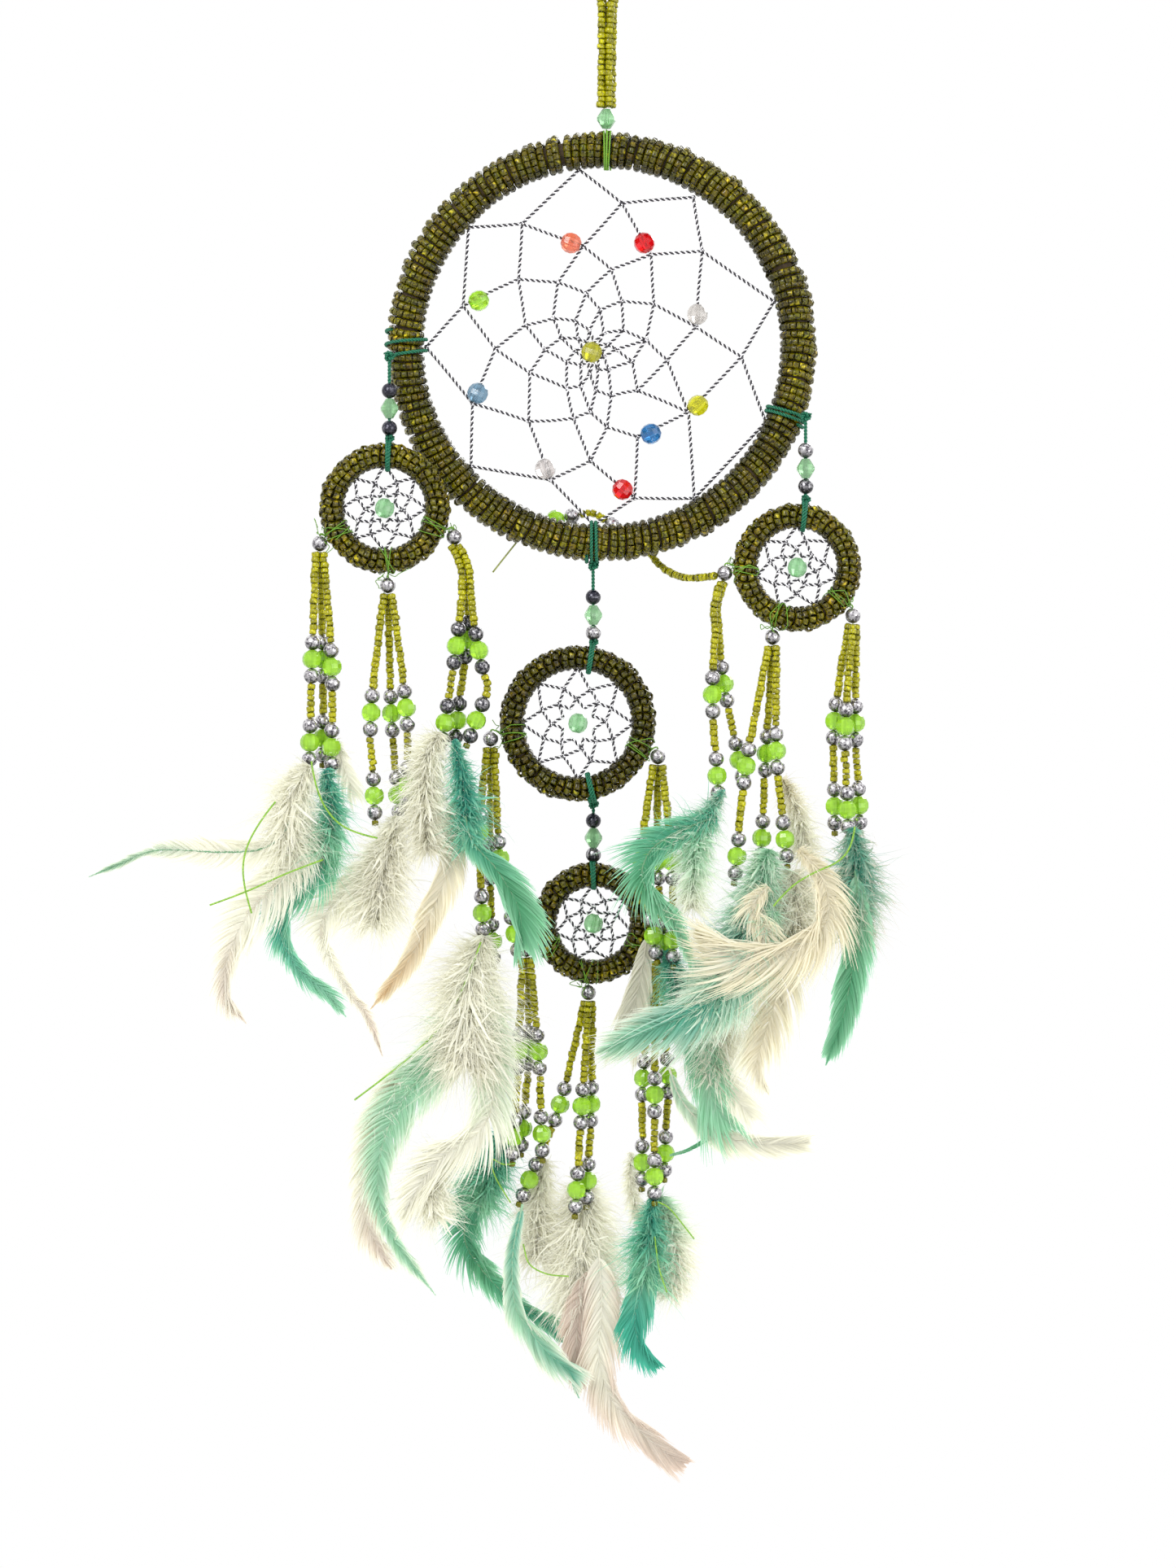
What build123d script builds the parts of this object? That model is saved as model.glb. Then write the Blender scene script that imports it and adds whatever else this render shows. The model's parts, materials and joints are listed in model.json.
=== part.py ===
from build123d import *
import os
from math import atan2, cos, degrees, hypot, radians, sin, tan

# Millimetres. The origin is where a nail bears under the top of the hanging loop.
# +Z is up, -Y faces the viewer. Everything that swings turns about +Y, so each
# swinging body keeps to its own layer of depth.

# Stock
thread_r = 0.25  # nylon thread
cord_r = 0.5  # dark green twisted cord
seed_r = 1.05  # seed beads on their thread
silver_r = 2.15
lime_r, lime_length = 2.65, 4.9
clear_r, clear_length = 2.5, 5.4
web_bead_r = 2.85
web_width = 0.85  # metallic web thread
bore_r = 0.35
group_length = 4 * silver_r + lime_length  # silver, lime, silver
feather_thick = 1.0

# Rings: centre x, y, z, centreline radius, radius over the bead wrap, core radius
rings = {
    "main": (-1.6, 0, -117.2, 54.2, 5.0, 3.0),
    "left": (-61.4, -8.9, -162.4, 14.4, 3.4, 1.35),
    "right": (52.0, -8.9, -178.7, 14.1, 3.3, 1.35),
    "middle": (-8.3, 0, -221.4, 18.1, 3.3, 1.35),
    "bottom": (-4.0, 9.2, -277.0, 13.4, 3.1, 1.35),
}

# Hangers: x, knot height on the ring above, heights of dark, clear and silver beads
hangers = {
    "left": (-60.1, -120.6, (-130.1, -135.0, -140.4)),
    "right": (54.3, -137.3, (-146.5, -151.5, -156.4)),
    "middle": (-4.1, -177.8, (-186.5, -191.5, -196.4)),
    "bottom": (-4.0, -243.7, (-248.4, -253.2, -257.9)),
}
knot_r = 1.1
knot_gap = 1.5  # from a knot's centre down to the cord that swings on it

# The main web: nine nodes a round, across and up from the hoop's centre
web_rounds = [
    [(-6.3, 48.8), (25.2, 41.2), (47.5, 12.4), (45.2, -20.9), (25.5, -42.0),
     (-2.3, -49.3), (-36.2, -33.1), (-48.6, -0.2), (-36.9, 32.9)],
    [(5.5, 39.6), (27.7, 26.3), (38.5, -2.9), (25.5, -42.0), (9.0, -41.9),
     (-14.3, -36.9), (-35.8, -15.8), (-38.0, 11.7), (-22.1, 33.9)],
    [(-5.2, 27.7), (13.6, 25.4), (26.0, 5.4), (23.9, -18.2), (9.8, -25.0),
     (-3.2, -31.7), (-20.3, -20.7), (-29.5, -0.7), (-23.1, 18.6)],
    [(2.6, 21.3), (14.3, 11.7), (18.0, -3.8), (9.8, -12.2), (1.4, -22.3),
     (-7.9, -19.9), (-20.0, -7.3), (-21.2, 5.9), (-12.2, 17.7)],
    [(-4.4, 14.7), (5.4, 12.5), (12.2, 1.8), (8.4, -4.2), (2.6, -13.7),
     (-3.2, -18.2), (-9.7, -11.6), (-15.8, -0.9), (-13.5, 7.7)],
    [(-0.5, 10.1), (5.9, 4.5), (3.8, -0.8), (1.8, -6.4), (-1.7, -12.2),
     (-5.9, -11.0), (-9.7, -4.4), (-11.3, 2.4), (-7.4, 7.0)],
]
web_centre = (-2.9, -1.6)
# Nodes that hook on the node before them in their own round: (round, place)
web_hooks = {(2, 4), (3, 3), (4, 3)}
# Web beads: thread from (round, place) to (round, place), and how far along it
web_bead_places = [
    ((1, 8), (2, 0), 0.80), ((1, 0), (2, 1), 0.76), ((1, 7), (2, 8), 0.28),
    ((1, 1), (2, 2), 0.82), ((1, 6), (2, 7), 0.22), ((1, 2), (2, 3), 0.82),
    ((2, 3), (2, 4), 0.74), ((1, 5), (2, 6), 0.24), ((1, 4), (2, 5), 0.27),
]
small_web_points = {"left": 8, "right": 7, "middle": 8, "bottom": 7}

# Tassels: ring, top bead x and z, whether the middle strand hangs in front, then for
# each strand from left to right the centres of its two bead groups below the top bead
tassels = {
    "left_tassel_a": ("left", -79.2, -172.1, False,
        [((-1.9, -31.9), (-2.5, -54.7)), ((0.9, -31.8), (0.8, -53.5)), ((3.6, -34.0), (3.5, -56.0))]),
    "left_tassel_b": ("left", -60.5, -183.6, False,
        [((-4.5, -35.0), (-3.6, -57.8)), ((1.0, -35.2), (2.7, -57.6)), ((5.2, -33.7), (5.6, -55.0))]),
    "left_tassel_c": ("left", -42.3, -170.3, False,
        [((0.7, -30.0), (-2.4, -51.1)), ((3.4, -28.3), (0.9, -50.4)), ((6.9, -31.3), (6.2, -50.4))]),
    "right_tassel_a": ("right", 32.1, -180.2, False,
        [((-3.5, -33.5), (-2.2, -55.7)), ((-0.2, -30.4), (3.9, -51.4))]),
    "right_tassel_b": ("right", 45.2, -197.8, False,
        [((-7.4, -35.5), (-9.9, -60.2)), ((-1.7, -32.0), (-2.9, -55.2)), ((0.9, -31.3), (3.2, -55.6))]),
    "right_tassel_c": ("right", 67.3, -191.9, True,
        [((-5.1, -29.0), (-5.0, -52.4)), ((-2.4, -30.5), (-1.7, -53.4)), ((0.7, -29.5), (1.7, -52.2))]),
    "middle_tassel_a": ("middle", -32.4, -225.7, False,
        [((-3.0, -25.7), (-2.3, -48.1)), ((-0.4, -34.0), (0.5, -56.0)), ((2.6, -33.0), (6.6, -53.8))]),
    "middle_tassel_b": ("middle", 13.8, -230.6, False,
        [((-4.5, -28.6), (-1.3, -49.5)), ((0.0, -29.0), (1.6, -51.7)), ((3.8, -29.0), (4.1, -50.6))]),
    "bottom_tassel_a": ("bottom", -22.7, -284.2, False,
        [((-2.0, -28.1), (-3.5, -52.2)), ((0.7, -27.5), (-1.0, -50.0)), ((3.4, -28.4), (4.3, -51.3))]),
    "bottom_tassel_b": ("bottom", -5.4, -296.2, True,
        [((-7.9, -31.4), (-16.5, -52.4)), ((-1.8, -31.6), (-3.3, -54.9)), ((0.8, -31.2), (-0.2, -52.6))]),
    "bottom_tassel_c": ("bottom", 13.7, -285.2, True,
        [((-3.8, -35.0), (-4.1, -58.6)), ((-0.7, -39.4), (-0.7, -62.2)), ((3.0, -34.2), (2.3, -56.0))]),
}
# Points that a strand's upper or lower run bows through, below the top bead
upper_bows = {
    "left_tassel_c": [(3.2, -7.0), (3.4, -15.0)],
    "right_tassel_a": [(-2.4, -8.0), (-1.5, -17.0)],
}
lower_bows = {("left_tassel_c", 2): [(9.6, -41.5)]}
strand_y = {"left": -11.2, "right": -11.2, "middle": 0.0, "bottom": 11.2}
strand_spread = 2.4  # each strand in front of or behind the tassel's middle
bunch_x, bunch_mid, bunch_side = 1.1, 1.3, 0.75  # strands packed under the top bead
end_seed_r, end_seed_length = 0.95, 1.6

# The strand of right_tassel_a that is caught behind the main hoop
caught_upper = [(29.6, -8.9, -180.9), (22.5, -2.5, -182.0), (15.8, 5.0, -179.1), (10.5, 9.3, -172.4)]
caught_lower = [(-0.5, 9.3, -164.8), (-4.3, 9.3, -162.6), (-7.9, 9.3, -163.2)]
caught_tail = [(-21.1, 9.3, -166.0), (-25.5, 9.3, -171.0), (-32.0, 9.3, -179.3)]

# Feathers of each tassel: depth, quill points from the base, half width at each
feathers = {
    "left_tassel_a": [
        (-20.0, [(-81, -239), (-88, -250), (-99, -256), (-112, -256.5), (-127, -258), (-142, -264)],
         [3, 4, 4, 4, 3, 0.5]),
        (-18.6, [(-79, -239), (-86, -248), (-95, -262), (-103, -276), (-104.5, -292), (-98, -304)],
         [3, 9, 8, 5, 3, 0.5]),
        (-17.2, [(-77, -239), (-80, -257), (-89, -273), (-88, -286), (-80, -294), (-71.5, -302)],
         [3, 6, 5, 4, 3, 0.5]),
        (-8.0, [(-79, -256), (-79, -275), (-75, -290), (-68.5, -301), (-61.5, -313)],
         [2, 6, 5, 4, 0.5]),
    ],
    "left_tassel_b": [(-11.2, [(-60, -255), (-63, -265), (-64, -279)], [4, 9, 4])],
    "left_tassel_c": [
        (-17.2, [(-45, -232), (-50, -239), (-53, -251)], [3, 6, 4]),
        (-18.6, [(-42, -230), (-41, -241), (-40, -254)], [2, 8, 5]),
        (-14.0, [(-42, -248), (-46, -270), (-53, -285), (-65, -300)], [2, 5, 4, 0.5]),
        (-20.0, [(-39, -250), (-31, -261), (-24, -272), (-22.5, -283)], [3, 6, 6, 1]),
    ],
    "right_tassel_a": [
        (-17.2, [(33, -243), (28, -250), (17, -256), (13, -265), (16, -274), (24, -290)],
         [2, 6, 6, 6, 5, 1]),
    ],
    "right_tassel_b": [
        (-20.0, [(50, -262), (58, -267), (50, -279), (38, -286), (26, -282)], [3, 5, 6, 6, 2]),
        (-11.2, [(48, -271), (47, -287), (44, -302), (41, -315), (44.5, -324)], [5, 6, 5, 3, 0.5]),
        (-18.6, [(44, -262), (42, -276), (36, -291), (21, -303), (6, -310), (-4, -312.5)],
         [5, 8, 8, 5, 3, 0.5]),
        (-8.0, [(54.5, -241), (55.5, -252), (56, -263)], [1, 3, 2]),
    ],
    "right_tassel_c": [
        (-17.2, [(67, -256), (67.5, -264), (68.5, -279), (66, -294), (64, -305), (59.5, -315)],
         [4, 10, 7, 4, 3, 0.5]),
    ],
    "middle_tassel_a": [
        (-4.4, [(-33, -291), (-38, -296), (-42, -306)], [6, 13, 8]),
        (-1.8, [(-34, -300), (-32, -312), (-32, -328), (-44, -341), (-57, -363)], [5, 6, 6, 6, 0.5]),
        (-3.1, [(-36, -300), (-48, -317), (-60, -335), (-63, -352), (-58, -366), (-47, -380)],
         [4, 7, 6, 5, 4, 0.5]),
        (-0.5, [(-66, -338), (-67, -350), (-66, -362), (-60, -373)], [3, 4, 3, 0.5]),
    ],
    "middle_tassel_b": [
        (-3.1, [(17, -293), (23, -303), (28, -314), (28, -323), (34, -333)], [6, 8, 7, 5, 1]),
        (-1.8, [(15, -301), (20, -323), (28, -333), (38, -337), (56, -337.5)], [3, 4, 4, 3, 1]),
        (-0.5, [(9, -293), (7, -301), (4.5, -309)], [2, 4, 1]),
    ],
    "bottom_tassel_a": [
        (17.2, [(-28, -340), (-36, -346), (-40, -363), (-32, -377), (-20, -387), (-10.5, -395)],
         [4, 6, 5, 4, 3, 0.5]),
    ],
    "bottom_tassel_b": [
        (8.0, [(-24, -360), (-26, -370), (-26, -380), (-22, -392), (-13, -401), (-8, -410)],
         [2, 4, 4, 4, 4, 0.5]),
        (18.6, [(-6, -350), (-6, -364), (-4, -382)], [7, 15, 8]),
        (11.2, [(-3, -364), (-1.5, -384), (-2, -398), (3, -412), (14, -422), (25, -429)],
         [3, 5, 5, 4.5, 4.5, 1.5]),
    ],
    "bottom_tassel_c": [
        (9.5, [(13, -359), (10, -370), (9, -383), (9, -391), (15, -401)], [2, 6, 5, 4, 0.5]),
        (13.0, [(14, -359), (19, -367), (19, -377)], [2, 6, 4]),
    ],
}


def unit(a, b):
    """The direction from one point to another."""
    return (Vector(*b) - Vector(*a)).normalized()


def rod(a, b, radius):
    """A straight round rod from a to b."""
    a, b = Vector(*a), Vector(*b)
    middle = Plane(origin=(a + b) * 0.5, z_dir=b - a)
    return middle * Cylinder(radius, (b - a).length)


def tube(points, radius):
    """A round tube along straight runs, with arcs as large as the runs allow."""
    if len(points) == 2:
        return rod(*points, radius)
    spots = [Vector(*p) for p in points]
    runs = [b - a for a, b in zip(spots, spots[1:])]
    radii = []
    for before, after in zip(runs, runs[1:]):
        turn = radians(before.get_angle(after))
        radii.append(0.45 * min(before.length, after.length) / tan(turn / 2))
    print("arc radii", [round(r, 1) for r in radii])
    path = FilletPolyline(*spots, radius=radii)
    start = Plane(origin=path @ 0, z_dir=path % 0)
    return sweep(start * Circle(radius), path)


def single(shapes):
    """Several overlapping shapes fused into one solid."""
    fused = shapes[0]
    for shape in shapes[1:]:
        fused = fused + shape
    return fused


def write(node, shapes):
    """Writes one node, which may hold several separate solids."""
    solids = [solid for shape in shapes for solid in shape.solids()]
    export_step(Compound(solids), f"parts/{node}.step")
    print(node, len(solids))


def turned(profile):
    """A bead turned from half its outline, given as radius and height."""
    outline = make_face(Polyline(*[(r, 0, z) for r, z in profile], close=True))
    return revolve(outline, Axis.Z)


def round_bead(radius):
    return Sphere(radius) - Cylinder(bore_r, 3 * radius)


def faceted_bead(radius, length):
    """A barrel with a flat at each end and a short straight middle."""
    half = length / 2
    end, belt = 0.52 * radius, 0.2 * length
    return turned([(bore_r, -half), (end, -half), (radius, -belt), (radius, belt), (end, half), (bore_r, half)])


def threaded_on(bead, centre, axis):
    """A bead moved so that its bore lies along the axis."""
    return Plane(origin=centre, z_dir=axis) * bead


def ring_point(ring, angle, out=0.0, back=0.0):
    """A point on a ring's centreline, moved outwards and back, at an angle in degrees."""
    x, y, z, radius = rings[ring][:4]
    far = radius + out
    return (x + far * cos(radians(angle)), y + back, z + far * sin(radians(angle)))


def band(ring, angle, radius):
    """One turn of cord round a ring's bead wrap."""
    tangent = (-sin(radians(angle)), 0, cos(radians(angle)))
    around = rings[ring][4] + radius + 0.05
    return Plane(origin=ring_point(ring, angle), z_dir=tangent) * Torus(around, radius)


def angle_to(ring, x, z):
    return degrees(atan2(z - rings[ring][2], x - rings[ring][0]))


def hoop_and_wrap(ring):
    x, y, z, radius, over, core = rings[ring]
    flat = Plane(origin=(x, y, z), z_dir=(0, 1, 0))
    write(f"{ring}_hoop", [flat * Torus(radius, core)])
    write(f"{ring}_wrap", [flat * (Torus(radius, over) - Torus(radius, core))])


def flat_net(ring, threads):
    """A net of flat threads in the ring's plane, one solid."""
    x, y, z = rings[ring][:3]
    strips = []
    for (x0, z0), (x1, z1) in threads:
        place = Pos((x0 + x1) / 2, (z0 + z1) / 2) * Rot(0, 0, degrees(atan2(z1 - z0, x1 - x0)))
        strips.append(place * Rectangle(hypot(x1 - x0, z1 - z0) + web_width, web_width))
    net = Sketch() + strips
    return Pos(x, y, z) * extrude(Plane.XZ * net, web_width / 2, both=True)


def pulled_in(rounds, centre, share):
    """One more round, each node between two of the last and pulled to the centre."""
    last = rounds[-1]
    mids = [((x0 + x1) / 2, (z0 + z1) / 2) for (x0, z0), (x1, z1) in zip(last[-1:] + last[:-1], last)]
    return [(centre[0] + share * (x - centre[0]), centre[1] + share * (z - centre[1])) for x, z in mids]


def net_threads(rounds, hooks=()):
    """Each node joins two nodes of the round outside it; odd rounds look ahead, even ones back."""
    threads = []
    for turn in range(1, len(rounds)):
        outer, inner = rounds[turn - 1], rounds[turn]
        for i, node in enumerate(inner):
            other = (i + 1) % len(inner) if turn % 2 else i - 1
            first = inner[i - 1] if (turn, i) in hooks else outer[other]
            threads += [(first, node), (outer[i], node)]
    return [(a, b) for a, b in threads if hypot(b[0] - a[0], b[1] - a[1]) > web_width]


def main_web():
    rounds = web_rounds + [pulled_in(web_rounds, web_centre, 0.6)]
    write("main_web", [flat_net("main", net_threads(rounds, web_hooks))])
    x, y, z = rings["main"][:3]
    bead = Sphere(web_bead_r) - Cylinder(0.75, 3 * web_bead_r)
    beads = [threaded_on(bead, (x + web_centre[0], y, z + web_centre[1]), (0.3, 0, 1))]
    for (r0, i0), (r1, i1), along in web_bead_places:
        (xa, za), (xb, zb) = web_rounds[r0][i0], web_rounds[r1][i1]
        spot = (x + xa + along * (xb - xa), y, z + za + along * (zb - za))
        beads.append(threaded_on(bead, spot, (xb - xa, 0, zb - za)))
    write("web_beads", beads)


def star(radius, points, first):
    return [(radius * cos(radians(first + 360 * i / points)), radius * sin(radians(first + 360 * i / points)))
            for i in range(points)]


def small_net(ring):
    """A star net: anchors on the wrap, then three rounds stepping in to the bead."""
    inner, points = rings[ring][3] - rings[ring][4], small_web_points[ring]
    step = 360 / points
    rounds = [star(inner + 0.2, points, 90), star(0.72 * inner, points, 90 + step / 2),
              star(0.5 * inner, points, 90), star(0.32 * inner, points, 90 + step / 2)]
    centre_bead = threaded_on(Sphere(clear_r) - Cylinder(0.75, 3 * clear_r), rings[ring][:3], (0.2, 0, 1))
    return flat_net(ring, net_threads(rounds)), centre_bead


def hanger(ring, lower_tie=None):
    """Cord, ties and beads between a ring and the knot that it swings on."""
    x, knot_z, heights = hangers[ring]
    y, over = rings[ring][1], rings[ring][3] + rings[ring][4]
    angle = degrees(atan2((over**2 - (x - rings[ring][0])**2)**0.5, x - rings[ring][0]))
    foot = ring_point(ring, angle, out=rings[ring][4] + cord_r + 0.05)
    cord = single([rod((x, y, knot_z - knot_gap), foot, cord_r), band(ring, angle, cord_r)])
    kinds = [round_bead(silver_r), faceted_bead(clear_r, clear_length), round_bead(silver_r)]
    wide = [bead - Cylinder(cord_r + 0.08, 12) for bead in kinds]
    direction = unit(foot, (x, y, knot_z))
    beads = []
    for bead, height in zip(wide, heights):
        along = (height - foot[2]) / (knot_z - knot_gap - foot[2])
        centre = (foot[0] + along * (x - foot[0]), y, height)
        beads.append(threaded_on(bead, centre, direction))
    return cord, beads


def tassel_tie(name):
    """Light green thread: a turn round the ring, then down through the top bead."""
    ring, x, z = tassels[name][:3]
    y = rings[ring][1]
    angle = angle_to(ring, x, z)
    near = ring_point(ring, angle, out=rings[ring][4] + thread_r + 0.05)
    above = (x, y, z + silver_r + 0.4)
    below = (x, y, z - silver_r)
    return single([band(ring, angle, thread_r), rod(near, above, thread_r),
                   Pos(*above) * Sphere(thread_r), rod(above, below, thread_r)])


def bead_group(centre, axis):
    """Silver, lime and silver beads in a row along the axis."""
    centre, axis = Vector(*centre), Vector(*axis).normalized()
    reach = silver_r + lime_length / 2
    silver, lime = round_bead(silver_r), faceted_bead(lime_r, lime_length)
    return [threaded_on(silver, centre + axis * reach, axis), threaded_on(lime, centre, axis),
            threaded_on(silver, centre - axis * reach, axis)]


def strand(start, bow, first, bow_low, second):
    """One strand: seed run, bead group, seed run, bead group, end seed."""
    axis_a = unit((bow or [start])[-1], (bow_low or [second])[0])
    axis_b = unit((bow_low or [first])[-1], second)
    half = group_length / 2
    first, second = Vector(*first), Vector(*second)
    top_a, end_a = first - axis_a * half, first + axis_a * half
    top_b, end_b = second - axis_b * half, second + axis_b * half
    bite = 0.6  # how far the thread runs on inside the seeds
    pieces = [
        tube([start, *bow, tuple(top_a)], seed_r),
        rod(top_a - axis_a * bite, end_a + axis_a * bite, thread_r),
        tube([tuple(end_a), *bow_low, tuple(top_b)], seed_r),
        rod(top_b - axis_b * bite, end_b + axis_b * bite, thread_r),
        rod(end_b + axis_b * 0.1, end_b + axis_b * end_seed_length, end_seed_r),
    ]
    return single(pieces), bead_group(first, axis_a) + bead_group(second, axis_b)


def caught_strand():
    """The strand that runs round behind the main hoop, with a bare thread tail."""
    axis_a, axis_b = unit(caught_upper[-1], caught_lower[0]), unit(caught_lower[-1], caught_tail[0])
    centre_a = (Vector(*caught_upper[-1]) + Vector(*caught_lower[0])) * 0.5
    centre_b = (Vector(*caught_lower[-1]) + Vector(*caught_tail[0])) * 0.5
    bite = 0.6
    pieces = [
        tube(caught_upper, seed_r),
        rod(Vector(*caught_upper[-1]) - axis_a * bite, Vector(*caught_lower[0]) + axis_a * bite, thread_r),
        tube(caught_lower, seed_r),
        rod(Vector(*caught_lower[-1]) - axis_b * bite, Vector(*caught_tail[0]) + axis_b * bite, thread_r),
        rod(Vector(*caught_tail[0]) + axis_b * 0.1, Vector(*caught_tail[0]) + axis_b * 0.7, end_seed_r),
        tube(caught_tail, thread_r),
    ]
    return single(pieces), bead_group(centre_a, axis_a) + bead_group(centre_b, axis_b)


def tassel(name):
    ring, x, z, middle_front, groups = tassels[name]
    y, centre_y = rings[ring][1], strand_y[ring]
    strands, beads = [], [Pos(x, y, z) * round_bead(silver_r)]
    for i, (group_a, group_b) in enumerate(groups):
        front = middle_front if i == 1 else not middle_front
        side = -1 if front else 1
        off_y = side * (bunch_mid if i == 1 else bunch_side)
        start = (x + (i - 1) * bunch_x, y + off_y, z - silver_r - 0.15)
        depth = centre_y + side * strand_spread
        first, second = [(x + dx, depth, z + dz) for dx, dz in (group_a, group_b)]
        share = [(y + off_y + (depth - y - off_y) * dz / group_a[1], dx + (i - 1) * bunch_x, dz)
                 for dx, dz in upper_bows.get(name, [])]
        bow = [(x + dx, depth_here, z + dz) for depth_here, dx, dz in share]
        bow_low = [(x + dx, depth, z + dz) for dx, dz in lower_bows.get((name, i), [])]
        one, its_beads = strand(start, bow, first, bow_low, second)
        strands.append(one)
        beads += its_beads
    if name == "right_tassel_a":
        one, its_beads = caught_strand()
        strands.append(one)
        beads += its_beads
    write(f"{name}_strands", strands)
    write(f"{name}_beads", beads)


def feather(depth, quill, widths):
    """A flat blade: its outline runs down one side of the quill and back up the other."""
    left, right = [], []
    for i, ((x, z), wide) in enumerate(zip(quill, widths)):
        (xa, za), (xb, zb) = quill[max(i - 1, 0)], quill[min(i + 1, len(quill) - 1)]
        length = hypot(xb - xa, zb - za)
        nx, nz = -(zb - za) / length, (xb - xa) / length
        left.append((x + wide * nx, depth, z + wide * nz))
        right.append((x - wide * nx, depth, z - wide * nz))
    outline = make_face(Polyline(*left, *reversed(right), close=True))
    return extrude(outline, feather_thick / 2, both=True, dir=(0, 1, 0))


def hanging_loop():
    """Two seed-bead loops side by side: down the back of the bead, up and over the nail."""
    legs = [(-1.5, -51.3), (-1.4, -36.0), (-1.2, -22.0), (-3.6, -10.5), (-3.0, 1.05)]
    back = [(2.9, 1.05), (3.3, -10.0), (1.1, -21.5), (0.8, -36.5), (0.7, -51.3)]
    write("hanging_loop", [tube([(x, y, z) for x, z in legs + back], seed_r) for y in (-1.1, 1.1)])
    write("loop_bead", [Pos(-0.4, 0, -54.3) * faceted_bead(clear_r + 0.2, clear_length)])


def main_ties():
    """Dark green ties for the three hangers, each with its knot, and the loop's own tie."""
    ties = [single([band("main", 89, thread_r), rod((-0.4, 0, -57.95), (-0.4, 0, -57.25), thread_r)])]
    for ring, angle, corner in (("left", 181.5, 45), ("right", -20.5, 45), ("middle", -92.6, 0)):
        x, knot_z = hangers[ring][:2]
        knot = (x, rings[ring][1], knot_z)
        reach = rings["main"][4] + cord_r + 0.05
        touch = ring_point("main", angle, out=reach * cos(radians(corner)), back=-reach * sin(radians(corner)))
        ties.append(single([band("main", angle, cord_r), rod(touch, knot, cord_r), Pos(*knot) * Sphere(knot_r)]))
    write("main_ties", ties)


def lower_tie():
    """The tie at the foot of the middle ring that the bottom ring swings on."""
    x, knot_z = hangers["bottom"][:2]
    knot = (x, rings["bottom"][1], knot_z)
    angle = angle_to("middle", x, knot_z)
    reach = (rings["middle"][4] + cord_r + 0.05) * 0.707
    touch = ring_point("middle", angle, out=reach, back=reach)
    return single([band("middle", angle, cord_r), rod(touch, knot, cord_r), Pos(*knot) * Sphere(knot_r)])


os.makedirs("parts", exist_ok=True)
hanging_loop()
hoop_and_wrap("main")
main_web()
main_ties()
for ring in ("left", "right", "middle", "bottom"):
    hoop_and_wrap(ring)
    net, centre_bead = small_net(ring)
    write(f"{ring}_web", [net])
    cord, hanger_beads = hanger(ring)
    write(f"{ring}_beads", [centre_bead, *hanger_beads])
    ties = [tassel_tie(name) for name in tassels if tassels[name][0] == ring]
    extra = [lower_tie()] if ring == "middle" else []
    write(f"{ring}_threads", [cord, *ties, *extra])
for name in tassels:
    tassel(name)
    write(f"{name}_feathers", [feather(*one) for one in feathers[name]])
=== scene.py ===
import json

import bpy
import numpy as np
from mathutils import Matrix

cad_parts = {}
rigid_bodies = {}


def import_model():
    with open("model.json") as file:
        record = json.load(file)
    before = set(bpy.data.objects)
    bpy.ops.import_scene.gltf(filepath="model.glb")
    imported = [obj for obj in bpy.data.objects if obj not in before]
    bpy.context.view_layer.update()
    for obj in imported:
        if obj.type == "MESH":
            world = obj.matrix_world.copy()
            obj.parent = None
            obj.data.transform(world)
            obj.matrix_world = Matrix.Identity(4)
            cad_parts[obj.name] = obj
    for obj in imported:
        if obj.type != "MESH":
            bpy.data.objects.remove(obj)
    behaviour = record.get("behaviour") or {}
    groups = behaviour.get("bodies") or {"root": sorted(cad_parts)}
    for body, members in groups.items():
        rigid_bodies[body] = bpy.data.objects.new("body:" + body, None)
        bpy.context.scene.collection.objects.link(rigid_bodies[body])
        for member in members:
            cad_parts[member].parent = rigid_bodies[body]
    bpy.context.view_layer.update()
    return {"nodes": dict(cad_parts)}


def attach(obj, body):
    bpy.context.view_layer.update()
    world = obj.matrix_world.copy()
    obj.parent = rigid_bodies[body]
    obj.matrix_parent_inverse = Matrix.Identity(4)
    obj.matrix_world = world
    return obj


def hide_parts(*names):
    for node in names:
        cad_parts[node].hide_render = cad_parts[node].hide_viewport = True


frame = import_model()
mm = 0.001
up = np.array([0.0, 0.0, 1.0])
towardsViewer = np.array([0.0, -1.0, 0.0])
print("frame loaded", len(frame["nodes"]), "nodes")

# Radii and lengths, in millimetres like every size below
stock = {
    "thread": 0.25,  # radius of the bead thread
    "cord": 0.5,  # radius of the green hanger cord
    "seed": 1.05,
    "seedPitch": 1.46,  # from seed to seed on a strand
    "silver": 2.15,
    "lime": 2.65,
    "limeLength": 4.9,
    "clear": 2.5,
    "clearLength": 5.4,
    "webBead": 2.85,
    "webThread": 0.46,
}
# Centre, centreline radius, radius over the wrap, core radius, and the body it rides on
rings = {
    "main": {"centre": (-1.6, 0, -117.2), "radius": 54.2, "over": 5.0, "core": 3.0, "body": "hoop"},
    "left": {"centre": (-61.4, -8.9, -162.4), "radius": 14.4, "over": 3.4, "core": 1.35, "body": "left_ring"},
    "right": {"centre": (52.0, -8.9, -178.7), "radius": 14.1, "over": 3.3, "core": 1.35,
              "body": "right_ring"},
    "middle": {"centre": (-8.3, 0, -221.4), "radius": 18.1, "over": 3.3, "core": 1.35, "body": "middle_ring"},
    "bottom": {"centre": (-4.0, 9.2, -277.0), "radius": 13.4, "over": 3.1, "core": 1.35,
               "body": "bottom_ring"},
}


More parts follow.
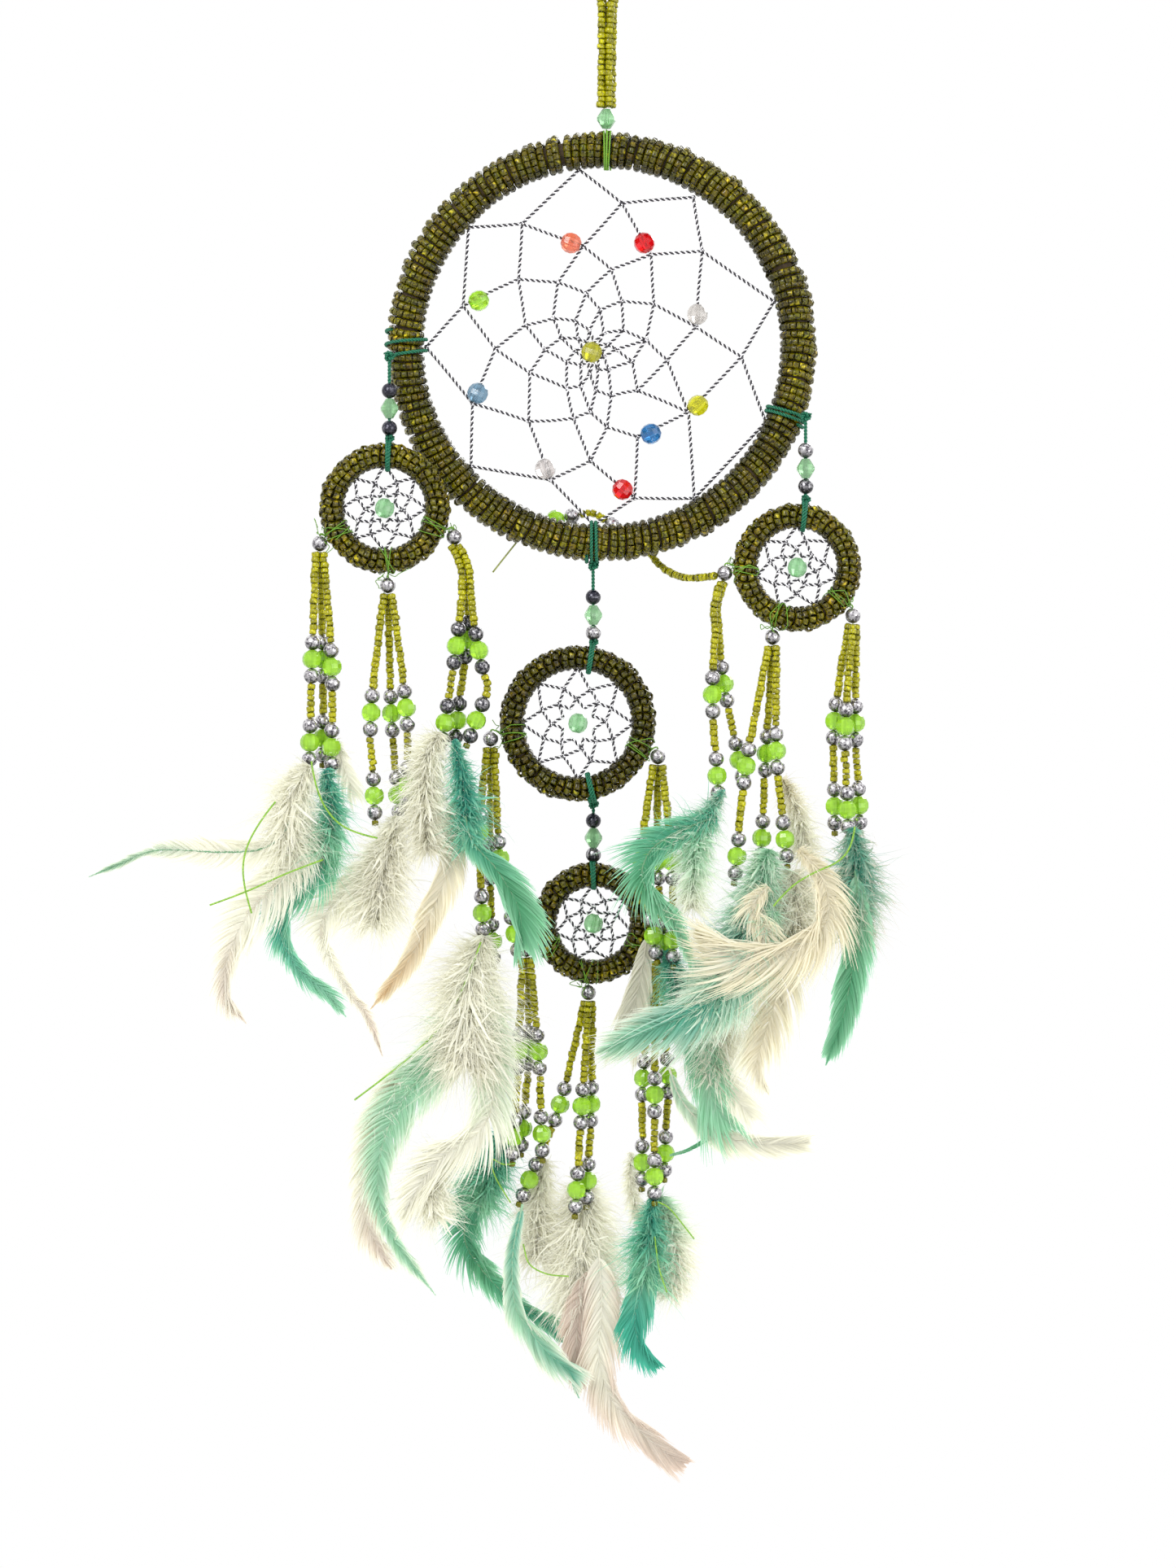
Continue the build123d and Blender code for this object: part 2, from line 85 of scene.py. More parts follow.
def makeMesh(name, points, faces, material, body, smooth=True, tint=None, uv=None, marks=None):
    # points in millimetres, faces all with the same number of corners
    mesh = bpy.data.meshes.new(name)
    points = np.asarray(points, float).reshape(-1, 3) * mm
    faces = np.asarray(faces, int)
    mesh.vertices.add(len(points))
    mesh.vertices.foreach_set("co", points.ravel())
    mesh.loops.add(faces.size)
    mesh.loops.foreach_set("vertex_index", faces.ravel())
    mesh.polygons.add(len(faces))
    mesh.polygons.foreach_set("loop_start", np.arange(len(faces)) * faces.shape[1])
    mesh.polygons.foreach_set("use_smooth", np.full(len(faces), smooth))
    if tint is not None:
        colour = np.ones((len(points), 4))
        colour[:, :3] = np.asarray(tint).reshape(-1, 3)
        mesh.color_attributes.new("tint", "FLOAT_COLOR", "POINT").data.foreach_set("color", colour.ravel())
    if uv is not None:
        uv = np.asarray(uv, float).reshape(-1, 2)
        mesh.uv_layers.new(name="along").data.foreach_set("uv", uv[faces.ravel()].ravel())
    mesh.update(calc_edges=True)
    mesh.materials.append(material)
    piece = bpy.data.objects.new(name, mesh)
    bpy.context.scene.collection.objects.link(piece)
    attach(piece, body)
    if marks:
        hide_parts(*marks)
    return piece


def gridFaces(rows, columns, closeRows=False, closeColumns=False):
    # quads between neighbours on a grid of rows by columns
    r = np.arange(rows if closeRows else rows - 1)
    c = np.arange(columns if closeColumns else columns - 1)
    r, c = np.meshgrid(r, c, indexing="ij")
    r2, c2 = (r + 1) % rows, (c + 1) % columns
    return np.stack([r * columns + c, r * columns + c2, r2 * columns + c2, r2 * columns + c],
                    -1).reshape(-1, 4)


def unit(v):
    # each vector divided by its own length
    return v / np.maximum(np.linalg.norm(v, axis=-1, keepdims=True), 1e-9)


def sideOf(axes, hint=(0.0, -1.0, 0.0)):
    # a direction square to each axis, as near the hint as it can be
    side = np.asarray(hint) - axes * (axes @ np.asarray(hint))[..., None]
    weak = np.linalg.norm(side, axis=-1) < 0.05
    side[weak] = np.cross(axes[weak], np.array([0.31, 0.2, 0.93]))
    return unit(side)


def smoothPath(points, count):
    # a Catmull-Rom curve through the points, each span a cubic that leaves along its neighbours
    p = np.asarray(points, float)
    p = np.vstack([2 * p[0] - p[1], p, 2 * p[-1] - p[-2]])
    spans = len(p) - 3
    at = np.linspace(0, spans, count)
    i = np.minimum(at.astype(int), spans - 1)
    t = (at - i)[:, None]
    a, b, c, d = p[i], p[i + 1], p[i + 2], p[i + 3]
    return 0.5 * (2 * b + (c - a) * t + (2 * a - 5 * b + 4 * c - d) * t**2 + (3 * b - a - 3 * c + d) * t**3)


def alongLine(line, at):
    # points and directions at distances along a line
    line = np.asarray(line, float)
    steps = np.linalg.norm(np.diff(line, axis=0), axis=1)
    far = np.concatenate([[0], np.cumsum(steps)])
    at = np.clip(np.asarray(at, float), 0, far[-1])
    spots = np.stack([np.interp(at, far, line[:, k]) for k in range(3)], -1)
    ahead = np.stack([np.interp(np.minimum(at + 0.2, far[-1]), far, line[:, k]) for k in range(3)], -1)
    behind = np.stack([np.interp(np.maximum(at - 0.2, 0), far, line[:, k]) for k in range(3)], -1)
    return spots, unit(ahead - behind)


def lineLength(line):
    # the distances between neighbouring points, added up
    return float(np.linalg.norm(np.diff(np.asarray(line), axis=0), axis=1).sum())


def joined(skins):
    # several skins as one: points, faces and, where they have them, their UVs
    points, faces, uvs, start = [], [], [], 0
    for skin in skins:
        points.append(skin[0])
        faces.append(skin[1] + start)
        uvs += [skin[2]] if len(skin) > 2 else []
        start += len(skin[0])
    return np.vstack(points), np.vstack(faces), (np.vstack(uvs) if uvs else None)


def tubeSkin(path, radius, sides):
    # a circle carried along the path, with a radius for each of its points
    tangent = unit(np.gradient(path, axis=0))
    side = sideOf(tangent)
    other = np.cross(tangent, side)
    angle = np.arange(sides) * 2 * np.pi / sides
    ring = np.cos(angle)[None, :, None] * side[:, None] + np.sin(angle)[None, :, None] * other[:, None]
    points = path[:, None] + radius[:, None, None] * ring
    return points.reshape(-1, 3), gridFaces(len(path), sides, closeColumns=True)


def pliedSkin(path, radius, pitch, sides, step):
    # two plies wound round the path: each a tube whose middle circles the path once a pitch
    length = lineLength(path)
    far = np.linspace(0, length, max(int(length / step), 6))
    spots, tangent = alongLine(path, far)
    side = sideOf(tangent)
    other = np.cross(tangent, side)
    skins = []
    for share in (0.0, 0.5):
        angle = 2 * np.pi * (far / pitch + share)
        middle = spots + 0.5 * radius * (np.cos(angle)[:, None] * side + np.sin(angle)[:, None] * other)
        points, faces = tubeSkin(middle, np.full(len(far), 0.56 * radius), sides)
        skins.append((points, faces, np.stack([np.repeat(far, sides), np.full(len(points), share)], -1)))
    return joined(skins)


# Each kind of bead is bored: its outline, as shares of its radius and half length, comes back up the bore
arc = np.linspace(-1.36, 1.36, 9)
outlines = {
    "seed": np.array([(0.87, -1.0), (1.0, -0.5), (1.0, 0.5), (0.87, 1.0), (0.34, 0.0)]),
    "tube": np.array([(0.93, -1.0), (1.0, -0.6), (1.0, 0.6), (0.93, 1.0), (0.34, 0.0)]),
    "round": np.vstack([np.stack([np.cos(arc), np.sin(arc)], -1), [(0.14, 0.9), (0.14, -0.9)]]),
    "faceted": np.array([(0.40, -1.0), (0.80, -0.70), (1.0, -0.26), (1.0, 0.26), (0.80, 0.70), (0.40, 1.0),
                         (0.16, 0.95), (0.16, -0.95)]),
    "bicone": np.array([(0.42, -1.0), (0.98, -0.16), (0.98, 0.16), (0.42, 1.0), (0.16, 0.95), (0.16, -0.95)]),
}
beadSides = {"seed": 8, "tube": 7, "round": 16, "faceted": 9, "bicone": 8}
# painted glints: the share of the points near the seeds' ends that are brightened in the tint
paintedGlintShare = 0.045  # of the points at the seeds' ends


def beads(centres, axes, kind, radius, halfLength, spin=0.0, swell=1.0):
    # each bead is its outline turned about its own axis, spun and swelled by its own amount
    centres, axes = np.asarray(centres, float), unit(np.asarray(axes, float))
    outline, sides = outlines[kind], beadSides[kind]
    side = sideOf(axes, (0.15, -0.9, 0.4))
    other = np.cross(axes, side)
    turn = np.arange(sides)[None] * 2 * np.pi / sides + np.broadcast_to(spin, (len(centres),))[:, None]
    out = np.cos(turn)[..., None] * side[:, None] + np.sin(turn)[..., None] * other[:, None]
    size = np.broadcast_to(swell, (len(centres),))
    points = (centres[:, None, None]
              + (size * radius)[:, None, None, None] * outline[None, None, :, 0, None] * out[:, :, None]
              + (size * halfLength)[:, None, None, None] * outline[None, None, :, 1, None]
              * axes[:, None, None])
    one = gridFaces(sides, len(outline), closeRows=True, closeColumns=True)[:, ::-1]
    start = np.arange(len(centres))[:, None, None] * sides * len(outline)
    return points.reshape(-1, 3), (one[None] + start).reshape(-1, 4)


def perBead(colours, kind, along=None):
    # one colour for all the points of a bead, times, where given, a painted shade for each point of its
    # outline
    tint = np.repeat(np.asarray(colours, float), beadSides[kind] * len(outlines[kind]), axis=0)
    return tint if along is None else tint * np.tile(along, beadSides[kind] * len(colours))[:, None]


def paintedGlints(rng, count, kind, bright):
    # painted glints: a few points at the beads' ends made brighter in the tint, as highlights where light
    # would catch through the bore
    nearEnd = np.abs(outlines[kind][:, 1]) > 0.4
    spark = rng.random((count, beadSides[kind], len(nearEnd))) < paintedGlintShare * nearEnd
    return 1 + spark.reshape(-1, 1) * (np.array(bright) - 1)


def paintedFootShade(points):
    # painted shade: darker towards each round bead's foot, by its height over the bead's lowest point,
    # standing in for the dark reflection and shade under a metal bead
    height = points.reshape(-1, beadSides["round"] * len(outlines["round"]), 3)[:, :, 2]
    low, high = height.min(1, keepdims=True), height.max(1, keepdims=True)
    share = (height - low) / (high - low)
    return np.repeat(np.interp(share.ravel(), [0, 0.3, 0.6, 1], [0.15, 0.45, 0.9, 1.0])[:, None], 3, axis=1)


def newMaterial(name, colour, rough, **more):
    # a Principled material with one colour and roughness, and any other sockets by name
    material = bpy.data.materials.new(name)
    material.use_nodes = True
    shader = material.node_tree.nodes["Principled BSDF"]
    shader.inputs["Base Color"].default_value = (*colour, 1)
    shader.inputs["Roughness"].default_value = rough
    for socket, value in more.items():
        shader.inputs[socket.replace("_", " ")].default_value = value
    return material, material.node_tree, shader


def addNode(tree, kind, **values):
    # a node with values for its sockets or, where it has no such socket, its settings
    node = tree.nodes.new(kind)
    for key, value in values.items():
        if key in node.inputs:
            node.inputs[key].default_value = value
        else:
            setattr(node, key, value)
    return node


def ramp(tree, source, stops):
    # colours read off a row of stops by the source's value
    node = tree.nodes.new("ShaderNodeValToRGB")
    while len(node.color_ramp.elements) < len(stops):
        node.color_ramp.elements.new(0.5)
    for element, (at, colour) in zip(node.color_ramp.elements, stops):
        element.position, element.color = at, (*colour, 1)
    tree.links.new(source, node.inputs["Fac"])
    return node


def mixed(tree, blend, factor, first, second):
    # two colours blended, each a fixed colour or another node's output
    node = tree.nodes.new("ShaderNodeMix")
    node.data_type, node.blend_type = "RGBA", blend
    for socket, value in ((0, factor), (6, first), (7, second)):
        if isinstance(value, bpy.types.NodeSocket):
            tree.links.new(value, node.inputs[socket])
        else:
            node.inputs[socket].default_value = value
    return node.outputs[2]


def seedGlass(name, dark, light, rough, clear):
    # lined glass: each bead has its own shade, with painted shade and glints, and noise runs it from dark to
    # light
    material, tree, shader = newMaterial(name, dark, rough, Coat_Weight=0.05, Coat_Roughness=0.05,
                                         Transmission_Weight=clear, IOR=1.5, Specular_IOR_Level=0.3)
    tint = addNode(tree, "ShaderNodeAttribute", attribute_name="tint")
    where = tree.nodes.new("ShaderNodeTexCoord")
    streaks = addNode(tree, "ShaderNodeTexNoise", Scale=1400.0, Detail=2.0)
    tree.links.new(where.outputs["Object"], streaks.inputs["Vector"])
    shade = ramp(tree, streaks.outputs["Fac"], [(0.36, dark), (0.62, light)])
    colour = mixed(tree, "MULTIPLY", 1.0, shade.outputs["Color"], tint.outputs["Color"])
    tree.links.new(colour, shader.inputs["Base Color"])
    return material


def clearPlastic(name, colour, clear):
    # acrylic with a faint haze, in one colour, or where that is None in each bead's own
    material, tree, shader = newMaterial(name, colour or (1, 1, 1), 0.04, Transmission_Weight=clear, IOR=1.49,
                                         Specular_IOR_Level=0.6)
    where = tree.nodes.new("ShaderNodeTexCoord")
    haze = addNode(tree, "ShaderNodeTexNoise", Scale=500.0, Detail=2.0)
    tree.links.new(where.outputs["Object"], haze.inputs["Vector"])
    if colour is None:
        base = addNode(tree, "ShaderNodeAttribute", attribute_name="tint").outputs["Color"]
    else:
        base = (*colour, 1)
    cloudy = ramp(tree, haze.outputs["Fac"], [(0.3, (0.72, 0.72, 0.72)), (0.7, (1, 1, 1))])
    tree.links.new(mixed(tree, "MULTIPLY", 1.0, base, cloudy.outputs["Color"]), shader.inputs["Base Color"])
    return material


def speckled(name, base, fleck, metal, size, low, high, rough):
    # a plated skin, with painted shade below from the tint, that noise wears through in small rougher flecks
    material, tree, shader = newMaterial(name, base, rough, Coat_Weight=0.3, Coat_Roughness=0.1)
    where = tree.nodes.new("ShaderNodeTexCoord")
    noise = addNode(tree, "ShaderNodeTexNoise", Scale=size, Detail=4.0, Roughness=0.65)
    tree.links.new(where.outputs["Object"], noise.inputs["Vector"])
    flecks = ramp(tree, noise.outputs["Fac"], [(low, base), (high, fleck)])
    # the tint holds painted shade, darker towards each bead's foot
    paintedShadeNode = addNode(tree, "ShaderNodeAttribute", attribute_name="tint")
    plated = mixed(tree, "MULTIPLY", 1.0, flecks.outputs["Color"], paintedShadeNode.outputs["Color"])
    tree.links.new(plated, shader.inputs["Base Color"])
    shader.inputs["Metallic"].default_value = metal
    roughness = ramp(tree, noise.outputs["Fac"], [(low, (rough,) * 3), (high, (rough + 0.25,) * 3)])
    tree.links.new(roughness.outputs["Color"], shader.inputs["Roughness"])
    bump = addNode(tree, "ShaderNodeBump", Strength=0.25, Distance=0.0001)
    tree.links.new(noise.outputs["Fac"], bump.inputs["Height"])
    tree.links.new(bump.outputs["Normal"], shader.inputs["Normal"])
    return material


def threadMaterial(name, dark, light, rough, scale):
    # fibres that run round the thread, by the distance along it
    material, tree, shader = newMaterial(name, light, rough)
    uv = addNode(tree, "ShaderNodeUVMap", uv_map="along")
    wave = addNode(tree, "ShaderNodeTexWave", Scale=scale, Distortion=3.0, Detail=2.0)
    tree.links.new(uv.outputs["UV"], wave.inputs["Vector"])
    shade = ramp(tree, wave.outputs["Fac"], [(0.25, dark), (0.65, light)])
    tree.links.new(shade.outputs["Color"], shader.inputs["Base Color"])
    bump = addNode(tree, "ShaderNodeBump", Strength=0.4, Distance=0.0001)
    tree.links.new(wave.outputs["Fac"], bump.inputs["Height"])
    tree.links.new(bump.outputs["Normal"], shader.inputs["Normal"])
    return material


def pliedMetal():
    # a silver foil ply wound with a black one: which ply it is comes from the second coordinate
    material, tree, shader = newMaterial("metallicThread", (0.8, 0.8, 0.82), 0.28)
    uv = addNode(tree, "ShaderNodeUVMap", uv_map="along")
    split = tree.nodes.new("ShaderNodeSeparateXYZ")
    tree.links.new(uv.outputs["UV"], split.inputs["Vector"])
    colour = ramp(tree, split.outputs["Y"], [(0.0, (0.88, 0.87, 0.90)), (0.3, (0.018, 0.016, 0.022))])
    colour.color_ramp.interpolation = "CONSTANT"
    tree.links.new(colour.outputs["Color"], shader.inputs["Base Color"])
    fibres = addNode(tree, "ShaderNodeTexNoise", Scale=6.0, Detail=3.0)
    tree.links.new(uv.outputs["UV"], fibres.inputs["Vector"])
    shine = ramp(tree, split.outputs["Y"], [(0.0, (0.9, 0.9, 0.9)), (0.3, (0.2, 0.2, 0.2))])
    shine.color_ramp.interpolation = "CONSTANT"
    tree.links.new(shine.outputs["Color"], shader.inputs["Metallic"])
    bump = addNode(tree, "ShaderNodeBump", Strength=0.5, Distance=0.0001)
    tree.links.new(fibres.outputs["Fac"], bump.inputs["Height"])
    tree.links.new(bump.outputs["Normal"], shader.inputs["Normal"])
    return material


def featherMaterial():
    # barbs let light through, so under half of it is scattered to the far side
    material, tree, shader = newMaterial("featherBarbs", (0.8, 0.8, 0.8), 0.55, Sheen_Weight=0.25,
                                         Sheen_Roughness=0.4, Specular_IOR_Level=0.35)
    tint = addNode(tree, "ShaderNodeAttribute", attribute_name="tint")
    tree.links.new(tint.outputs["Color"], shader.inputs["Base Color"])
    through = tree.nodes.new("ShaderNodeBsdfTranslucent")
    tree.links.new(tint.outputs["Color"], through.inputs["Color"])
    both = addNode(tree, "ShaderNodeMixShader", Fac=0.42)
    output = tree.nodes["Material Output"]
    tree.links.new(shader.outputs["BSDF"], both.inputs[1])
    tree.links.new(through.outputs["BSDF"], both.inputs[2])
    tree.links.new(both.outputs["Shader"], output.inputs["Surface"])
    return material


def grained(name, dark, light, size, rough):
    # a matt skin that noise takes from one shade to the other
    material, tree, shader = newMaterial(name, light, rough)
    where = tree.nodes.new("ShaderNodeTexCoord")
    grain = addNode(tree, "ShaderNodeTexNoise", Scale=size, Detail=5.0)
    tree.links.new(where.outputs["Object"], grain.inputs["Vector"])
    shade = ramp(tree, grain.outputs["Fac"], [(0.35, dark), (0.65, light)])
    tree.links.new(shade.outputs["Color"], shader.inputs["Base Color"])
    bump = addNode(tree, "ShaderNodeBump", Strength=0.3, Distance=0.0001)
    tree.links.new(grain.outputs["Fac"], bump.inputs["Height"])
    tree.links.new(bump.outputs["Normal"], shader.inputs["Normal"])
    return material


wrapGlass = seedGlass("wrapSeeds", dark=(0.026, 0.021, 0.0003), light=(0.205, 0.176, 0.002), rough=0.16,
                      clear=0.2)
strandGlass = seedGlass("strandSeeds", dark=(0.31, 0.29, 0.001), light=(0.60, 0.57, 0.004), rough=0.16,
                        clear=0.4)
limeGlass = clearPlastic("limeBeads", colour=(0.46, 0.86, 0.05), clear=0.45)
paleGlass = clearPlastic("paleGreenBeads", colour=(0.42, 0.78, 0.42), clear=0.6)
webGlass = clearPlastic("webBeads", colour=None, clear=0.6)
silverSkin = speckled("silverBeads", base=(0.78, 0.76, 0.78), fleck=(0.10, 0.09, 0.11), metal=0.9,
                      size=1500.0,
                      low=0.47, high=0.58, rough=0.2)
antiqueSkin = speckled("antiqueBeads", base=(0.46, 0.45, 0.47), fleck=(0.03, 0.03, 0.04), metal=0.85,
                       size=1300.0,
                       low=0.44, high=0.54, rough=0.2)
darkSkin = speckled("darkBeads", base=(0.012, 0.012, 0.028), fleck=(0.34, 0.34, 0.40), metal=0.5, size=1300.0,
                    low=0.54, high=0.70, rough=0.18)
metalThread = pliedMetal()
greenCord = threadMaterial("greenCord", dark=(0.0, 0.06, 0.028), light=(0.004, 0.20, 0.10), rough=0.42,
                           scale=1.4)
limeThread = threadMaterial("lightGreenThread", dark=(0.10, 0.26, 0.015), light=(0.25, 0.52, 0.05), rough=0.4,
                            scale=2.0)
nylon = grained("nylonThread", dark=(0.20, 0.24, 0.04), light=(0.38, 0.42, 0.10), size=2600.0, rough=0.3)
looseThread = grained("looseThread", dark=(0.10, 0.26, 0.01), light=(0.30, 0.55, 0.05), size=2600.0,
                      rough=0.4)
barbs = featherMaterial()
# the cane is brown, but its shades are darker than its own so that the gaps between the turns read dark:
# painted shade
cane = grained("bareCane", dark=(0.03, 0.018, 0.006), light=(0.09, 0.055, 0.02), size=900.0, rough=0.7)
print("materials made")


# The camera comes before the cords
view = {"height": 433.6, "x": -5.5, "z": -238.2, "away": 1500.0, "sensor": 36.0}
camera = bpy.data.objects.new("camera", bpy.data.cameras.new("camera"))
bpy.context.scene.collection.objects.link(camera)
camera.location = (view["x"] * mm, -view["away"] * mm, view["z"] * mm)
camera.rotation_euler = (np.pi / 2, 0, 0)
camera.data.sensor_width = view["sensor"]
camera.data.lens = view["sensor"] * view["away"] / view["height"]
camera.data.clip_end = 20
bpy.context.scene.camera = camera


def cordCurve(name, points, material, body):
    # a NURBS thread; its smooth line is read before it is given a thickness
    data = bpy.data.curves.new(name, "CURVE")
    data.dimensions, data.resolution_u = "3D", 16
    spline = data.splines.new("NURBS")
    spline.points.add(len(points) - 1)
    for place, point in zip(spline.points, points):
        place.co = (*[c * mm for c in point], 1)
    spline.order_u = 3
    spline.use_endpoint_u = True
    piece = bpy.data.objects.new(name, data)
    bpy.context.scene.collection.objects.link(piece)
    bare = bpy.data.meshes.new_from_object(piece)
    line = np.empty(len(bare.vertices) * 3)
    bare.vertices.foreach_get("co", line)
    bpy.data.meshes.remove(bare)
    data.bevel_depth, data.bevel_resolution, data.use_fill_caps = stock["thread"] * mm, 2, True
    data.materials.append(material)
    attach(piece, body)
    return piece, line.reshape(-1, 3) / mm


# How far seeds stand off and tilt, how their sizes and shades vary, and the painted shade along a seed's
# outline
strandSeeds = {
    "offset": 0.10,
    "tilt": 0.12,
    "swell": (0.90, 1.08),
    "shade": (0.75, 1.25),
    "along": (0.72, 1.0, 1.0, 0.72, 0.8),
    "paintedGlintTint": (1.8, 1.8, 4.0),
    "shortest": 0.8,
}


def seedsAlong(line, start, end, seed):
    # seeds side by side on the thread, each a little larger, smaller, proud or tilted
    rng = np.random.default_rng(seed)
    pitch = stock["seedPitch"]
    count = max(int(round((end - start) / pitch)), 1)
    at = start + (np.arange(count) + 0.5) * (end - start) / count
    spots, axes = alongLine(line, at)
    spots = spots + rng.normal(0, strandSeeds["offset"], spots.shape) * (1, 1, 0.3)
    axes = unit(axes + rng.normal(0, strandSeeds["tilt"], axes.shape))
    swell = rng.uniform(*strandSeeds["swell"], count)
    skin, faces = beads(spots, axes, "seed", 1.05 * stock["seed"], 0.5 * pitch, rng.uniform(0, 6, count),
                        swell)
    shade = rng.uniform(*strandSeeds["shade"], count)[:, None] * (1, 1, 1)
    # painted shade darkens each seed's ends and bore, and painted glints brighten a few points
    tint = perBead(shade, "seed", strandSeeds["along"]) * paintedGlints(rng, count, "seed", strandSeeds["paintedGlintTint"])
    return skin, faces, tint


def seedPiece(name, line, spans, body, seed, marks):
    # one piece of all the seeds on a thread, with a run of them for each span along it
    skins, tints = [], []
    for i, (start, end) in enumerate(spans):
        if end - start > strandSeeds["shortest"]:
            points, faces, tint = seedsAlong(line, start, end, seed * 7 + i)
            skins.append((points, faces))
            tints.append(tint)
    points, faces, _ = joined(skins)
    return makeMesh(name, points, faces, strandGlass, body, tint=np.vstack(tints), marks=marks)


# Two loops of seeds: up from the clear bead, over the nail, and down again
loop = {
    "points": [(-1.5, -51.3), (-1.4, -36.0), (-1.2, -22.0), (-3.6, -10.5), (-3.0, 1.05),
               (2.9, 1.05), (3.3, -10.0), (1.1, -21.5), (0.8, -36.5), (0.7, -51.3)],
    "depths": (-1.1, 1.1),
    "aside": 0.45,
    "bead": (-0.4, 0.0, -54.3),
    "seed": 900,
}


def makeLoop():
    # each loop is the route moved a little aside and back or forth, so that the two cross no beads
    for i, depth in enumerate(loop["depths"]):
        route = [(x + loop["aside"] * (2 * i - 1), depth, z) for x, z in loop["points"]]
        cord, line = cordCurve(f"loopThread{i + 1}", route, nylon, "loop")
        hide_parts("hanging_loop")
        spans = [(0.2, lineLength(line) - 0.2)]
        seeds = seedPiece(f"loopSeeds{i + 1}", line, spans, "loop", loop["seed"] + i, ["hanging_loop"])
    points, faces = beads([loop["bead"]], [up], "bicone", stock["clear"] + 0.2, stock["clearLength"] / 2)
    makeMesh("loopClearBead", points, faces, paleGlass, "loop", smooth=False, marks=["loop_bead"])


# For each tassel: its ring, the top bead's x and z, whether the middle strand is in front, and for each
# strand the centres of its two bead groups, across and up from the top bead
tassels = {
    "left_tassel_a": ("left", -79.2, -172.1, False,
        [((-1.9, -31.9), (-2.5, -54.7)), ((0.9, -31.8), (0.8, -53.5)), ((3.6, -34.0), (3.5, -56.0))]),
    "left_tassel_b": ("left", -60.5, -183.6, False,
        [((-4.5, -35.0), (-3.6, -57.8)), ((1.0, -35.2), (2.7, -57.6)), ((5.2, -33.7), (5.6, -55.0))]),
    "left_tassel_c": ("left", -42.3, -170.3, False,
        [((0.7, -30.0), (-2.4, -51.1)), ((3.4, -28.3), (0.9, -50.4)), ((6.9, -31.3), (6.2, -50.4))]),
    "right_tassel_a": ("right", 32.1, -180.2, False,
        [((-3.5, -33.5), (-2.2, -55.7)), ((-0.2, -30.4), (3.9, -51.4))]),
    "right_tassel_b": ("right", 45.2, -197.8, False,
        [((-7.4, -35.5), (-9.9, -60.2)), ((-1.7, -32.0), (-2.9, -55.2)), ((0.9, -31.3), (3.2, -55.6))]),
    "right_tassel_c": ("right", 67.3, -191.9, True,
        [((-5.1, -29.0), (-5.0, -52.4)), ((-2.4, -30.5), (-1.7, -53.4)), ((0.7, -29.5), (1.7, -52.2))]),
    "middle_tassel_a": ("middle", -32.4, -225.7, False,
        [((-3.0, -25.7), (-2.3, -48.1)), ((-0.4, -34.0), (0.5, -56.0)), ((2.6, -33.0), (6.6, -53.8))]),
    "middle_tassel_b": ("middle", 13.8, -230.6, False,
        [((-4.5, -28.6), (-1.3, -49.5)), ((0.0, -29.0), (1.6, -51.7)), ((3.8, -29.0), (4.1, -50.6))]),
    "bottom_tassel_a": ("bottom", -22.7, -284.2, False,
        [((-2.0, -28.1), (-3.5, -52.2)), ((0.7, -27.5), (-1.0, -50.0)), ((3.4, -28.4), (4.3, -51.3))]),
    "bottom_tassel_b": ("bottom", -5.4, -296.2, True,
        [((-7.9, -31.4), (-16.5, -52.4)), ((-1.8, -31.6), (-3.3, -54.9)), ((0.8, -31.2), (-0.2, -52.6))]),
    "bottom_tassel_c": ("bottom", 13.7, -285.2, True,
        [((-3.8, -35.0), (-4.1, -58.6)), ((-0.7, -39.4), (-0.7, -62.2)), ((3.0, -34.2), (2.3, -56.0))]),
}
# How strands lie: depth of each ring's strands and how far front and back ones part, the bunch under the
# top bead, the points that a few strands bow through, and the strands with dark beads
strandLay = {
    "depth": {"left": -11.2, "right": -11.2, "middle": 0.0, "bottom": 11.2},
    "spread": 2.4,
    "bunch": (1.1, 1.3, 0.75),
    "upperBows": {"left_tassel_c": [(3.2, -7.0), (3.4, -15.0)],
                  "right_tassel_a": [(-2.4, -8.0), (-1.5, -17.0)]},
    "lowerBows": {("left_tassel_c", 2): [(9.6, -41.5)]},
    "antique": {("left_tassel_c", 0), ("left_tassel_c", 1), ("left_tassel_c", 2)},
    "threadEnd": 1.6,
    "endSeed": {"radius": 0.95, "half": 0.7, "below": 0.75, "shade": 0.5},
}
groupHalf = 2 * stock["silver"] + stock["limeLength"] / 2  # half a silver, lime and silver group
# The strand that is caught behind the main hoop, with its bare end
caught = {
    "upper": [(29.6, -8.9, -180.9), (22.5, -2.5, -182.0), (15.8, 5.0, -179.1), (10.5, 9.3, -172.4)],
    "lower": [(-0.5, 9.3, -164.8), (-4.3, 9.3, -162.6), (-7.9, 9.3, -163.2)],
    "tail": [(-21.1, 9.3, -166.0), (-25.5, 9.3, -171.0), (-32.0, 9.3, -179.3)],
    "seed": 77,
}


def bodyOf(tassel):
    # the body of the ring that the tassel hangs on
    return rings[tassels[tassel][0]]["body"]


